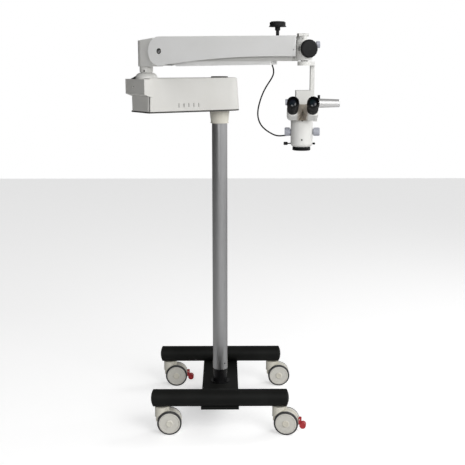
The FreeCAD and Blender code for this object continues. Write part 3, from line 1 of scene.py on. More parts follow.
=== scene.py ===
# %% [markdown]
# # A surgical microscope on its floor stand
#
# This lesson dresses a finished mechanical model. The rigid pieces come from the CAD frame and
# stay as they are. Here they get their paint, plastic, rubber and metal, and the small fittings
# that a photographer's lens would find: screw heads, knurling, lenses, caps and the lamp cable.
#
# Each step says first what the real piece is, then how it can be made, and then makes it.

# %% Load the frame
import json
import math

import bmesh
import bpy
from mathutils import Matrix, Vector


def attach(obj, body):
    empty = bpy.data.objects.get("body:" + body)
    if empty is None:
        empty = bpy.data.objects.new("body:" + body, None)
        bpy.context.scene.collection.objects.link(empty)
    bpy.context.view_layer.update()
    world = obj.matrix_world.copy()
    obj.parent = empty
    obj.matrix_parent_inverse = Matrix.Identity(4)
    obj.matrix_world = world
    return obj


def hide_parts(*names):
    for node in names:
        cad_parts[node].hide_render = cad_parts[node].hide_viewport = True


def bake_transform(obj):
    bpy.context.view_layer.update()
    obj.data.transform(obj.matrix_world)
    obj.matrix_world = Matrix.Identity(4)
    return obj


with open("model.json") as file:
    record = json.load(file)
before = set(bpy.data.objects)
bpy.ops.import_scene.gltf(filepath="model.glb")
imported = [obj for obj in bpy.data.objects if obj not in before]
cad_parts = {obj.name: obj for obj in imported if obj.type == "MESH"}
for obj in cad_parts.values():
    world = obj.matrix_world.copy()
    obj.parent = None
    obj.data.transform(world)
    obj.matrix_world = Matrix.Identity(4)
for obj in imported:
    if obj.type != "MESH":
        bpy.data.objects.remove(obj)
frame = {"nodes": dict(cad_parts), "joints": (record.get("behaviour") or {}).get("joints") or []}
nodes = frame["nodes"]
joints = {joint["name"]: joint for joint in frame["joints"]}
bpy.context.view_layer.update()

# %% [markdown]
# ## Where things are
#
# A joint's position is a real place on the machine: the tilt axis, the post, a castor's pin.
# Reading places from the joints keeps every fitting on its carrier. A small frame of reference,
# a matrix, stands for each leaning or turned group, so that its fittings can be drawn upright.
# Blender counts in metres. The fittings are small, so their places and sizes are in millimetres.

# %% Places
MM = 0.001


def place_of(name):
    return Vector(joints[name]["pos_m"])


def turned(degrees, axis):
    return Matrix.Rotation(math.radians(degrees), 4, axis)


def heading(at, degrees):
    """A frame at a point, turned about the vertical."""
    return Matrix.Translation(at) @ turned(degrees, "Z")


def over(joint, height, degrees):
    """A frame on the vertical line through a joint, at a height in metres above the floor."""
    return heading((*place_of(joint)[:2], height), degrees)


def aside(where, x=0.0, y=0.0, z=0.0):
    """The same frame, moved along its own axes by millimetres."""
    return where @ Matrix.Translation((x * MM, y * MM, z * MM))


# Directions, in degrees about the vertical
HOUSING_HEADING = 213
ARM_HEADING = -36
BOSS_HEADING = ARM_HEADING - 35
SCOPE_HEADING = -3.4
EYE_LEAN = 63  # of the binocular's tubes, from upright towards the viewer
# Distances, in millimetres
PIVOT_HEIGHT = 1534  # of the arm's upper axis above the floor
PIVOT_OUT = 97  # from the post's axis to the arm's pivot
AXIS_AHEAD = 44  # from the tilt axis to the optical axis in front of it

COLUMN = over("column_swivel", 0, 0)
HOUSING = over("column_swivel", 0, HOUSING_HEADING)
POST = over("post_swivel", 0, ARM_HEADING)
ARM_PIVOT = aside(POST, x=PIVOT_OUT, z=PIVOT_HEIGHT)
BOSS = over("drop_swivel", 1.537, BOSS_HEADING)
SCOPE = heading(place_of("scope_tilt"), SCOPE_HEADING)
OPTICAL = aside(SCOPE, y=-AXIS_AHEAD)
TUBE = aside(SCOPE, y=-126.1, z=-19.5) @ turned(EYE_LEAN, "X")
print("tilt axis", [round(v, 3) for v in SCOPE.translation])

# %% [markdown]
# ## The camera
#
# The photograph was taken from about three and a half metres away, a little below the height of
# the arm, looking down by eleven degrees with a moderately long lens. The same place and lens
# make the two pictures comparable line by line.

# %% Camera
LOOK_DOWN, LOOK_RIGHT = 11, 0.5  # degrees
FROM_COLUMN = Vector((0.022, -3.619, 1.486))  # metres from the column's foot to the camera
camera_data = bpy.data.cameras.new("photo_camera")
camera_data.lens = 67.08
camera_data.sensor_width = 36
camera = bpy.data.objects.new("photo_camera", camera_data)
bpy.context.collection.objects.link(camera)
camera.location = COLUMN.translation + FROM_COLUMN
camera.rotation_euler = (math.radians(90 - LOOK_DOWN), 0, math.radians(-LOOK_RIGHT))
bpy.context.scene.camera = camera
bpy.context.scene.view_settings.view_transform = "Standard"
print("camera", round((camera.location - SCOPE.translation).length, 2), "m from the tilt axis")

# %% [markdown]
# ## Writing materials as sums
#
# A surface is a handful of numbers that change from point to point. Nodes hold those sums, but
# long chains of them are hard to read. The class below wraps a socket, so that `dust * 0.3 + 0.1`
# adds the two Math nodes by itself. Anything else comes from one method, `node`.

# %% Sums of sockets


class Value:
    """A socket that carries a number and can be used in sums."""

    def __init__(self, sheet, socket):
        self.sheet = sheet
        self.socket = socket

    def sum(self, operation, first, second=None):
        return self.sheet.node("Math", {"operation": operation}, {0: first, 1: second})

    def __add__(self, other):
        return self.sum("ADD", self, other)

    def __sub__(self, other):
        return self.sum("SUBTRACT", self, other)

    def __mul__(self, other):
        return self.sum("MULTIPLY", self, other)

    def __radd__(self, other):
        return self.sum("ADD", other, self)

    def __rsub__(self, other):
        return self.sum("SUBTRACT", other, self)

    def __rmul__(self, other):
        return self.sum("MULTIPLY", other, self)

    def __abs__(self):
        return self.sum("ABSOLUTE", self)

    def root(self):
        return self.sum("SQRT", self)

    def step(self, low, high):
        """Rises smoothly from 0 to 1 between two values."""
        ends = {"Value": self, "From Min": low, "From Max": high}
        return self.sheet.node("MapRange", {"interpolation_type": "SMOOTHSTEP"}, ends)


class NodeSheet:
    """A node tree, of a material or of the world, with one way to add to it."""

    def __init__(self, tree):
        self.tree = tree

    def node(self, kind, settings=None, inputs=None, out=0):
        """Adds a node: its settings first, then a value or a link for each socket."""
        made = self.tree.nodes.new("ShaderNode" + kind)
        for key, setting in (settings or {}).items():
            setattr(made, key, setting)
        for key, given in (inputs or {}).items():
            self.feed(made.inputs[key], given)
        return Value(self, made.outputs[out])

    def feed(self, socket, given):
        if isinstance(given, Value):
            self.tree.links.new(given.socket, socket)
        elif given is not None:
            socket.default_value = given


# %% [markdown]
# ## One class for a finish
#
# Paint, plastic and metal all start the same way: a pattern on the Object coordinates drives the
# colour, the roughness and a little bump. `Finish` keeps those steps, and `surface` hands the
# results to the shader under plain names. `local` turns the coordinates into those of a frame,
# where a pattern has to follow a leaning or a turning piece.

# %% Finishes


class Finish(NodeSheet):
    """A material whose surface is described by values."""

    SOCKETS = {
        "color": "Base Color",
        "coat": "Coat Weight",
        "coat_rough": "Coat Roughness",
        "shine": "Specular IOR Level",
    }

    def __init__(self, name):
        self.material = bpy.data.materials.new(name)
        self.material.use_nodes = True
        super().__init__(self.material.node_tree)
        self.shader = self.tree.nodes["Principled BSDF"]
        self.place = self.node("TexCoord", out="Object")

    def noise(self, scale, detail=3, stretch=(1, 1, 1), rough=0.5):
        spread = self.node("Mapping", {}, {"Vector": self.place, "Scale": stretch})
        sizes = {"Vector": spread, "Scale": scale, "Detail": detail, "Roughness": rough}
        return self.node("TexNoise", {}, sizes)

    def mix(self, share, first, second):
        """Blends two colours."""
        pair = [c if isinstance(c, Value) else (*c, 1.0) for c in (first, second)]
        return self.node("Mix", {"data_type": "RGBA"}, {0: share, 6: pair[0], 7: pair[1]}, out=2)

    def bump(self, height, distance, strength):
        return self.node(
            "Bump", {}, {"Height": height, "Distance": distance, "Strength": strength}
        )

    def local(self, matrix):
        """Object coordinates as seen from a frame of reference, split into x, y and z."""
        back = matrix.inverted()
        move = {"Vector": self.place, "Location": back.translation, "Rotation": back.to_euler()}
        split = self.node("SeparateXYZ", {}, {0: self.node("Mapping", {}, move)})
        return [Value(self, socket) for socket in split.socket.node.outputs]

    def surface(self, **values):
        for key, given in values.items():
            given = (*given, 1.0) if isinstance(given, tuple) else given
            self.feed(self.shader.inputs[self.SOCKETS.get(key, key.title())], given)
        return self.material


# %% [markdown]
# ## Paint and plastic
#
# Clinical equipment is mostly stove enamel over castings and textured plastic covers. Both look
# plain from afar, but up close the enamel has a faint orange-peel skin and yellows a little,
# and the plastic has a fine grain that scatters the light. The colour varies by a few percent,
# the roughness by a few more, and the bump stays under a tenth of a millimetre. One function
# makes them all, so each paint is a row of numbers.

# %% Enamels and covers
SHADED = 0.86  # share of its colour that a worn or shaded patch keeps


def enamel(name, colour, tint, rough, grain, height, shine):
    """A sprayed skin: slow drift in colour, fine orange peel."""
    finish = Finish(name)
    drift = finish.noise(6, 3)
    peel = finish.noise(grain, 2)
    smear = finish.noise(22, 4, (1, 1, 0.35), 0.6)
    shade = finish.mix(drift.step(0.35, 0.7), colour, tint)
    dirty = tuple(c * SHADED for c in colour)
    return finish.surface(
        color=finish.mix(smear.step(0.6, 0.85) * 0.25, shade, dirty),
        roughness=rough + smear * 0.12 - 0.06,
        normal=finish.bump(peel, height, 0.6),
        shine=shine,
    )


PAINT = (0.70, 0.697, 0.675)
# name: colour, drift colour, roughness, grain per metre, grain height in metres, shine
ENAMELS = {
    "white_enamel": (PAINT, (0.66, 0.655, 0.63), 0.36, 900, 3e-5, 0.5),
    # painted light: the arm cover and the duct are a paler white than the other white parts, to
    # stand in for the light that falls on them
    "cover_enamel": ((0.92, 0.92, 0.91), (0.89, 0.89, 0.875), 0.46, 1500, 8e-5, 0.5),
    "housing_plastic": ((0.66, 0.652, 0.625), (0.62, 0.612, 0.58), 0.5, 1500, 8e-5, 0.5),
    "cream_enamel": ((0.72, 0.70, 0.62), (0.68, 0.65, 0.56), 0.42, 900, 3e-5, 0.5),
    # painted shade: the binocular base is dark brown for the shade in the gap between the prisms
    "taupe_enamel": ((0.30, 0.26, 0.21), (0.24, 0.21, 0.17), 0.45, 900, 3e-5, 0.5),
    "grey_plastic": ((0.38, 0.39, 0.44), (0.34, 0.35, 0.39), 0.38, 1200, 3e-5, 0.5),
    "black_powder": ((0.0065, 0.0068, 0.0062), (0.011, 0.0115, 0.0105), 0.55, 1100, 6e-5, 0.12),
    "dark_plastic": ((0.05, 0.047, 0.042), (0.038, 0.035, 0.032), 0.5, 1400, 6e-5, 0.5),
    "gloss_black": ((0.005, 0.005, 0.0055), (0.008, 0.008, 0.0085), 0.24, 500, 1e-5, 0.2),
    "satin_black": ((0.005, 0.005, 0.005), (0.008, 0.008, 0.008), 0.45, 900, 2e-5, 0.12),
    "knob_black": ((0.009, 0.009, 0.0095), (0.013, 0.013, 0.0135), 0.5, 900, 4e-5, 0.15),
    "red_plastic": ((0.46, 0.03, 0.035), (0.40, 0.022, 0.03), 0.32, 900, 3e-5, 0.5),
    "cable_rubber": ((0.004, 0.004, 0.004), (0.006, 0.006, 0.006), 0.6, 1600, 3e-5, 0.08),
}
look = {name: enamel(name, *numbers) for name, numbers in ENAMELS.items()}
print("enamels and plastics", len(look))

# %% [markdown]
# ## Bare metal
#
# The column is drawn aluminium, the handle is brushed lengthwise, and the pins inside are ground
# steel. What the eye reads as metal is mostly the direction of its fine tool lines. A noise
# stretched far along one axis gives them: along the column's height, and along the handle.

# %% Metals


def metal(name, colour, rough, stretch, grain):
    """Bare metal with the fine lines of its last tool, long one way."""
    finish = Finish(name)
    lines = finish.noise(grain, 5, stretch, 0.7)
    haze = finish.noise(9, 3)
    return finish.surface(
        color=finish.mix(lines.step(0.3, 0.75), tuple(c * SHADED for c in colour), colour),
        metallic=1.0,
        roughness=rough + lines * 0.14 + haze * 0.08 - 0.1,
        normal=finish.bump(lines, 2e-5, 0.4),
    )


# name: colour, roughness, stretch of the lines, lines per metre
METALS = {
    "column_metal": ((0.46, 0.46, 0.465), 0.34, (14, 14, 0.25), 60),
    "handle_metal": ((0.86, 0.855, 0.85), 0.4, (0.25, 14, 14), 60),
    "steel": ((0.55, 0.55, 0.56), 0.28, (6, 6, 6), 60),
    "bronze": ((0.55, 0.36, 0.16), 0.35, (6, 6, 1), 60),
    "cast_metal": ((0.5, 0.5, 0.5), 0.5, (3, 3, 3), 30),
}
look |= {name: metal(name, *numbers) for name, numbers in METALS.items()}
print("metals", len(METALS))

# %% [markdown]
# ## Two materials in one piece
#
# A castor wheel is a pale disc pressed into a dark tread, and both are one node of the model.
# The distance from the axle and from the middle tells them apart. The axle's frame turns the
# Object coordinates to the wheel, and the root of the two squares is the radius.

# %% Castor wheels
CASTORS = {"front_left": 2, "front_right": -10, "rear_left": 0, "rear_right": 0}


def axle_of(corner):
    """The frame of a castor's axle, which runs along y."""
    return heading(place_of(f"wheels_{corner}_roll"), CASTORS[corner])


def wheel_finish(corner):
    """A pale disc with a moulded ring, dark at the rim on the outer side of each wheel."""
    finish = Finish("wheel_" + corner)
    x, y, z = finish.local(axle_of(corner))
    radius = (x * x + z * z).root()
    tread = radius.step(0.0429, 0.0432) * abs(y).step(0.0215, 0.0218)
    grime = finish.noise(90, 4).step(0.45, 0.75)
    disc = finish.mix(grime * 0.3, (0.66, 0.645, 0.59), (0.47, 0.44, 0.39))
    ring = radius.step(0.0375, 0.0379) * (1 - radius.step(0.0388, 0.0392))
    disc = finish.mix(ring * 0.45, disc, (0.3, 0.28, 0.25))
    tyre = finish.mix(grime * 0.6, (0.035, 0.035, 0.037), (0.085, 0.08, 0.075))
    return finish.surface(
        color=finish.mix(tread, disc, tyre),
        roughness=0.42 + tread * 0.25,
        normal=finish.bump(finish.noise(700, 2), 4e-5, 0.5),
    )


look |= {f"wheel_{corner}": wheel_finish(corner) for corner in CASTORS}
print("castors", len(CASTORS))

# %% [markdown]
# ## The shade between the prisms
#
# The inner sides of the two prism housings face each other in a narrow gap and look brownish
# in its shade. The distance from the middle plane of the binocular fades the paint into a painted
# brown shade on those inner sides.

# %% Prism housings
prism_paint = Finish("prism_paint")
across, _, _ = prism_paint.local(TUBE)
# painted shade: brown on the inner sides of the prisms, where the gap between them is in shade
between = (1 - abs(across).step(0.0125, 0.0225)) * 0.85
look["prism_paint"] = prism_paint.surface(
    color=prism_paint.mix(between, PAINT, (0.27, 0.225, 0.17)),
    roughness=0.4,
    normal=prism_paint.bump(prism_paint.noise(900, 2), 3e-5, 0.6),
)
print("prism paint", len(prism_paint.tree.nodes), "nodes")

# %% [markdown]
# ## Glass
#
# The objective and the eye lenses are coated glass. Seen from outside they are mostly dark, with
# a green-violet sheen from the coating, so a dark body, with that sheen painted in as a faint
# green and violet tint, under a thin clear coat reads better, and renders far faster, than real
# refraction into a black tube.

# %% Lens glass
lens = Finish("coated_glass")
# painted sheen: noise blends two dark tints for the coating's green-violet sheen
painted_sheen = lens.noise(14, 2).step(0.35, 0.65)
look["coated_glass"] = lens.surface(
    color=lens.mix(painted_sheen, (0.006, 0.014, 0.016), (0.014, 0.009, 0.02)),
    roughness=0.06,
    shine=0.25,
    coat=0.15,
    coat_rough=0.03,
)
print("glass", len(lens.tree.nodes), "nodes")

# %% [markdown]
# ## Dressing the CAD pieces
#
# A rigid piece keeps its mesh and gets one material. A list that runs from the look to the pieces
# reads like the painter's order sheet, and shows at once which pieces share a finish.

# %% Dress the CAD nodes
DRESS = {
    "black_powder": "base_beams base_plate beam_caps",
    "steel": "ballast_bars column_spindle castor_stems arm_pins balance_spring",
    "gloss_black": "column_socket objective_ring",
    "knob_black": "friction_knob star_knob",
    "satin_black": "lock_screws eyepiece_left eyepiece_right eyecup_left eyecup_right",
    "column_metal": "column_tube",
    "handle_metal": "tilt_handle",
    "cast_metal": "inner_frame",
    "bronze": "column_bush",
    "cream_enamel": "column_collar",
    "red_plastic": "pedal_front_right pedal_rear_left",
    "housing_plastic": "housing_shell housing_lid",
    # painted light: the arm cover and the duct get the paler white
    "cover_enamel": "arm_cover cable_duct",
    # the housing pan is a real lower tray, and its dark colour is painted shade along the
    # housing's lower edge
    "dark_plastic": "housing_pan housing_cap mains_inlet rocker_switch power_supply",
    "white_enamel": (
        "post_base post_collar post_column arm_beam lower_link arm_head clamp_lever "
        "drop_arm scope_carrier scope_body lamp_house"
    ),
    # painted shade: the binocular base between the prisms
    "taupe_enamel": "binocular_base",
    # the prism housings' paint carries the painted brown shade on their inner sides
    "prism_paint": "prism_left prism_right",
    "grey_plastic": "side_knob tilt_knob magnification_drum",
    "coated_glass": "objective_lens",
}
for corner in CASTORS:
    DRESS["cream_enamel"] += f" castor_{corner}_housing"
    DRESS[f"wheel_{corner}"] = f"castor_{corner}_wheels"
for finish_name, dressed in DRESS.items():
    for node_name in dressed.split():
        nodes[node_name].data.materials.clear()
        nodes[node_name].data.materials.append(look[finish_name])
print("dressed", sum(len(dressed.split()) for dressed in DRESS.values()), "of", len(nodes))

# %% [markdown]
# ## Making a fitting by hand
#
# Every fitting below starts as a primitive at the origin and is shaped in edit mode. `begin` adds
# the primitive with nothing else selected. `pick` selects faces, edges or points by a test. Three
# more helpers hold what the fittings share: a broken top edge, a sunk top, and standing on the
# origin.

# %% Modelling helpers


def begin(kind, **sizes):
    """Adds a primitive by hand, alone and active, at the origin."""
    if bpy.context.object and bpy.context.object.mode == "EDIT":
        bpy.ops.object.mode_set(mode="OBJECT")
    bpy.ops.object.select_all(action="DESELECT")
    getattr(bpy.ops.mesh, f"primitive_{kind}_add")(**sizes)
    return bpy.context.object


def pick(piece, test, what="faces"):
    """Selects the faces, edges or points that pass a test, in edit mode."""
    if piece.mode != "EDIT":
        bpy.ops.object.mode_set(mode="EDIT")
    bpy.ops.mesh.select_all(action="DESELECT")
    mesh = bmesh.from_edit_mesh(piece.data)
    mode = {"faces": "FACE", "edges": "EDGE", "verts": "VERT"}[what]
    bpy.ops.mesh.select_mode(type=mode)
    for item in getattr(mesh, what):
        if test(item):
            item.select_set(True)
    bmesh.update_edit_mesh(piece.data)


def break_top_edge(piece, offset, segments=2):
    pick(piece, lambda e: all(v.co.z > 0 for v in e.verts), "edges")
    bpy.ops.mesh.bevel(offset=offset * MM, segments=segments)


def sink_top(piece, border, depth):
    """Leaves a border on the top face and pushes the rest down."""
    pick(piece, lambda f: f.normal.z > 0.9 and f.calc_center_median().z > 0)
    bpy.ops.mesh.inset(thickness=border * MM)
    bpy.ops.mesh.extrude_region_move(TRANSFORM_OT_translate={"value": (0, 0, -depth * MM)})


def stand(height):
    """Moves the piece being edited from about the origin to on top of it."""
    bpy.ops.mesh.select_all(action="SELECT")
    bpy.ops.transform.translate(value=(0, 0, height * MM / 2))


# %% [markdown]
# ## Copies, each in its place
#
# A finished piece has its place in its mesh and its object at the origin, as the CAD pieces do.
# So a shape is modelled once and copied, each copy gets a mesh of its own, and applying the
# transform moves the place into that mesh. Then the copy rides on its body and gets its material.

# %% Fitting helpers


def fit(piece, where, body, skin, sharp=40):
    """Puts a finished piece in its place and on its body."""
    material, slot = skin
    bpy.ops.object.select_all(action="DESELECT")
    piece.select_set(True)
    bpy.context.view_layer.objects.active = piece
    piece.matrix_world = where
    bpy.ops.object.transform_apply(location=True, rotation=True, scale=True)
    bpy.ops.object.shade_smooth_by_angle(angle=math.radians(sharp))
    piece.data.materials.clear()
    piece.data.materials.append(material)
    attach(piece, body)


def fit_copies(model, skin, places, sharp=40):
    """Copies a shape to its places, a frame and a body for each name, and removes the shape."""
    if model.mode == "EDIT":
        bpy.ops.object.mode_set(mode="OBJECT")
    for name, (where, body) in places.items():
        piece = bpy.data.objects.new(name, model.data.copy())
        bpy.context.collection.objects.link(piece)
        fit(piece, where, body, skin, sharp)
    print(len(places), "x", len(model.data.polygons), "faces:", ", ".join(places))
    bpy.data.objects.remove(model)


STEEL = (look["steel"], "steel")
GLOSS = (look["gloss_black"], "gloss_black")
BLACK_METAL = (look["satin_black"], "black_aluminium")
BLACK_PLASTIC = (look["satin_black"], "dark_plastic")
DARK_PLASTIC = (look["dark_plastic"], "dark_plastic")
GREY_PLASTIC = (look["grey_plastic"], "grey_plastic")
SIDES = {"rear": 1, "front": -1}
EYES = {"left": -1, "right": 1}

# %% [markdown]
# ## Socket screws
#
# Hex socket screws hold the castings. A screw head is a short cylinder with a broken edge and a
# hole for the key. Insetting the top face and pushing it down by an extrude makes the hole, and
# a bevel on the rim catches the light. The two largest close the pivot of the arm.

# %% Pivot screws


def screw_head(radius, height):
    """A cap screw with a sunk socket, its underside at the origin."""
    head = begin("cylinder", vertices=36, radius=radius * MM, depth=height * MM)
    break_top_edge(head, 0.12 * radius)
    sink_top(head, 0.42 * radius, 0.55 * height)
    stand(height)
    return head


LUG_FACE = 38.0  # from the middle of the arm to the outer face of its lugs


def on_side(where, side):
    """A frame on one side of the arm, its z axis pointing away from it."""
    return aside(where, y=LUG_FACE * side) @ turned(-90 * side, "X")


pivot_faces = {word: on_side(ARM_PIVOT, side) for word, side in SIDES.items()}
fit_copies(
    screw_head(6.5, 2.2),
    STEEL,
    {f"pivot_screw_{word}": (seat, "arm") for word, seat in pivot_faces.items()},
)

# %% [markdown]
# ## Pivot covers on the arm
#
# The screw of the arm's pivot sits in a dished ring. A thin cylinder gets its middle inset and
# pushed down, which makes the dish, and a bevel breaks its outer edge.

# %% Dished rings


def dished_ring(outer, inner, thick):
    """A round washer with a sunk middle, its underside at the origin."""
    ring = begin("cylinder", vertices=64, radius=outer * MM, depth=thick * MM)
    break_top_edge(ring, 0.3 * thick)
    sink_top(ring, outer - inner, 0.7 * thick)
    stand(thick)
    return ring


fit_copies(
    dished_ring(outer=10.5, inner=8.2, thick=1.0),
    DARK_PLASTIC,
    {f"pivot_ring_{word}": (seat, "arm") for word, seat in pivot_faces.items()},
)

# %% [markdown]
# ## Ribbed grips
#
# Fingers need grip on the eyepieces, the thumb screws and the small knobs. A grip is a thin
# band of ribs. The cylinder's side has two faces for each rib: every second one is inset by
# itself and raised, so the ribs come out even, and the band stays light.

# %% Grips


def grip(radius, length, ribs, rise):
    """A ribbed band about the z axis, from the origin upwards."""
    band = begin("cylinder", vertices=ribs * 2, radius=radius * MM, depth=length * MM)
    step = math.pi / ribs

    def every_second(face):
        middle = face.calc_center_median()
        turn = math.atan2(middle.y, middle.x) / step - 0.5
        return abs(face.normal.z) < 0.5 and round(turn) % 2 == 0

    pick(band, every_second)
    bpy.ops.mesh.inset(
        thickness=0.12 * radius * step * MM, depth=rise * MM, use_individual=True
    )
    pick(band, lambda f: abs(f.normal.z) > 0.9)
    bpy.ops.mesh.inset(thickness=0.4 * MM)
    stand(length)
    return band


RIB_SHARP = 25  # degrees, so that each rib keeps its edges
EYE_OUT = 33.3  # from the middle plane of the binocular to the axis of a tube
barrels = {word: aside(TUBE, x=EYE_OUT * side) for word, side in EYES.items()}
fit_copies(
    grip(radius=18.6, length=13, ribs=40, rise=0.5),
    BLACK_METAL,
    {f"eyepiece_grip_{word}": (aside(barrels[word], z=9), f"tube_{word}") for word in EYES},
    RIB_SHARP,
)
fit_copies(
    grip(radius=20.55, length=7, ribs=36, rise=0.45),
    (look["satin_black"], "black_rubber"),
    {f"cup_grip_{word}": (aside(barrels[word], z=43), f"cup_{word}") for word in EYES},
    RIB_SHARP,
)

# %% [markdown]
# ## Grips on the microscope's body
#
# The magnification drum has a knob at each end, the thumb screw on the left holds the objective,
# and the objective has a ribbed ring of its own. All of them are the same band at other sizes.

# %% Body grips
outwards = {word: turned(90 * side, "Y") for word, side in EYES.items()}
KNOB_START = {"left": 44.0, "right": 45.5}  # from the drum's middle to each knob's grip
drum = aside(OPTICAL, z=-99)
fit_copies(
    grip(radius=14.05, length=12, ribs=22, rise=0.6),
    GREY_PLASTIC,
    {
        f"magnifier_grip_{word}": (aside(drum @ outwards[word], z=start), "magnifier")
        for word, start in KNOB_START.items()
    },
    RIB_SHARP,
)
thumb = aside(aside(OPTICAL, z=-140) @ outwards["left"], z=49.5)
fit_copies(
    grip(radius=5.25, length=11, ribs=16, rise=0.35),
    GLOSS,
    {"lens_screw_grip": (thumb, "microscope")},
    RIB_SHARP,
)
fit_copies(
    grip(radius=30.8, length=7, ribs=72, rise=0.35),
    GLOSS,
    {"objective_grip": (aside(OPTICAL, z=-161.5), "microscope")},
    RIB_SHARP,
)

# %% [markdown]
# ## Eye lenses
#
# The lens nearest the eye is a shallow glass cap held by a threaded ring. A sphere cut by a
# plane gives the cap: bisect keeps the part above the cut and closes it. The ring is the dished
# ring again, its middle sunk to the glass.

# %% Eye lenses


def lens_cap(curve, aperture):
    """The cap of a sphere, its rim at the origin."""
    ball = begin("uv_sphere", segments=48, ring_count=64, radius=curve * MM)
    sink = math.sqrt(curve**2 - aperture**2)
    bpy.ops.object.mode_set(mode="EDIT")
    bpy.ops.mesh.select_all(action="SELECT")
    bpy.ops.mesh.bisect(
        plane_co=(0, 0, sink * MM), plane_no=(0, 0, 1), clear_inner=True, use_fill=True
    )
    bpy.ops.mesh.select_all(action="SELECT")
    bpy.ops.transform.translate(value=(0, 0, -sink * MM))
    return ball


fit_copies(
    lens_cap(curve=35, aperture=12.4),
    (look["coated_glass"], "glass"),
    {f"eye_lens_{word}": (aside(barrels[word], z=53.2), f"tube_{word}") for word in EYES},
)
fit_copies(
    dished_ring(outer=15.6, inner=12.5, thick=2.2),
    BLACK_METAL,
    {f"lens_ring_{word}": (aside(barrels[word], z=51.6), f"tube_{word}") for word in EYES},
)

# %% [markdown]
# ## Small screws and plugs
#
# The photograph shows a handful of dark dots: the collar's set screw on the post, the plugged
# hole in the end of the lamp housing, the lock screw between the prisms, the plug at the side of
# the arm head and the screw on the body. They are the same cap screw at different sizes. The
# plug on the arm head is oval, so its frame is stretched one way.

# %% Small screws
collar_side = aside(over("post_swivel", 1.460, -103.5), x=26) @ turned(90, "Y")
nose = aside(HOUSING, x=383, y=-15, z=1400) @ turned(90, "Y")
wedge_front = aside(SCOPE, y=-90.3, z=-58.5) @ turned(EYE_LEAN, "X")
body_front = aside(OPTICAL, y=-37.6, z=-124.7) @ turned(90, "X")
cover_end = aside(POST, x=694, y=-LUG_FACE, z=PIVOT_HEIGHT) @ turned(90, "X")
boss_side = aside(BOSS, x=20, y=-28.2) @ turned(90, "X") @ Matrix.Diagonal((1, 1.7, 1, 1))
# name: radius, height, skin, frame, body
DOTS = {
    "collar_screw": (3.2, 1.2, GLOSS, collar_side, "post"),
    "nose_plug": (4.4, 4.5, BLACK_PLASTIC, nose, "extension"),
    "binocular_screw": (3.0, 5.0, GLOSS, wedge_front, "microscope"),
    "body_screw": (2.6, 1.0, GLOSS, body_front, "microscope"),
    "cover_end_screw": (2.4, 0.9, STEEL, cover_end, "arm"),
    "boss_plug": (4.6, 1.2, (look["satin_black"], "gloss_black"), boss_side, "head"),
}
for name, (radius, height, skin, where, body) in DOTS.items():
    fit_copies(screw_head(radius, height), skin, {name: (where, body)})

# %% [markdown]
# ## Rows of screws
#
# Four screws hold the column's flange to the base plate, evenly round it. Two more hold the arm's
# cover on its rear side, one near the pivot and one nearer the head.

# %% Flange and cover screws
fit_copies(
    screw_head(3.2, 2.4),
    GLOSS,
    {
        f"flange_screw_{turn}": (aside(COLUMN @ turned(turn, "Z"), x=36.6, z=123), "base")
        for turn in (45, 135, 225, 315)
    },
)
COVER_SCREWS = {180: 1502, 560: 1524}  # along the arm from its pivot: height above the floor
fit_copies(
    screw_head(3.0, 1.2),
    STEEL,
    {
        f"cover_screw_{along}": (on_side(aside(POST, x=PIVOT_OUT + along, z=height), 1), "arm")
        for along, height in COVER_SCREWS.items()
    },
)

# %% [markdown]
# ## Painted shade in the slots under the post, and a wedge beside it
#
# A ring of dark slots shows where the post's collar meets the dome. Their shade is painted by
# small black blocks with broken edges, set in a circle. Beside the dome sits a black wedge: a
# block whose outer top edge is pulled down to a slope.

# %% Slot shade and wedge


def block(size, slope=0.0):
    """A block with broken edges, its outer top edge pulled down by the slope."""
    cube = begin("cube", size=1)
    bpy.ops.object.mode_set(mode="EDIT")
    bpy.ops.transform.resize(value=tuple(side * MM for side in size))
    pick(cube, lambda v: v.co.x > 0 and v.co.z > 0, "verts")
    bpy.ops.transform.translate(value=(0, 0, -slope * MM))
    bpy.ops.mesh.select_all(action="SELECT")
    bpy.ops.mesh.bevel(offset=0.12 * min(size) * MM, segments=2)
    return cube


collar = over("post_swivel", 1.4505, 0)
NOTCH_TURN = -4  # degrees by which the whole ring is turned
# painted shade: each black block stands for the shade inside one slot
fit_copies(
    block((1.6, 7, 2.6)),
    BLACK_PLASTIC,
    {
        f"dome_notch_{turn % 360}": (
            aside(collar @ turned(turn + NOTCH_TURN, "Z"), x=28.6),
            "extension",
        )
        for turn in range(120, 480, 30)
    },
)
# a black wedge on the housing beside the dome
wedge_seat = aside(aside(HOUSING, x=338, z=1435) @ turned(-32, "Z"), x=49)
fit_copies(block((16, 15, 12), slope=9), BLACK_PLASTIC, {"post_stop": (wedge_seat, "extension")})

# %% [markdown]
# ## Painted shade behind the vents
#
# A thin black sheet behind the five slots is painted shade, so that they read as dark openings.

# %% Vent shade sheet
slots = aside(HOUSING, x=146, y=71.6, z=1327)
# painted shade: a black sheet stands for the dark inside of the slots
fit_copies(block((112, 0.8, 24)), BLACK_PLASTIC, {"vent_lining": (slots, "extension")})

# %% [markdown]
# ## Castor caps
#
# A pressed cap closes the axle in the middle of each castor's disc. It is a low drum whose top
# is inset and sunk a little, and the sunk face is drawn in, like a coin with a dished centre.

# %% Castor caps


def axle_cap():
    """A round cap about the origin, its top towards z."""
    cap = begin("cylinder", vertices=48, radius=14 * MM, depth=1.6 * MM)
    break_top_edge(cap, 0.5, segments=3)
    sink_top(cap, 4.5, 0.7)
    bpy.ops.transform.resize(value=(0.8, 0.8, 1))
    return cap


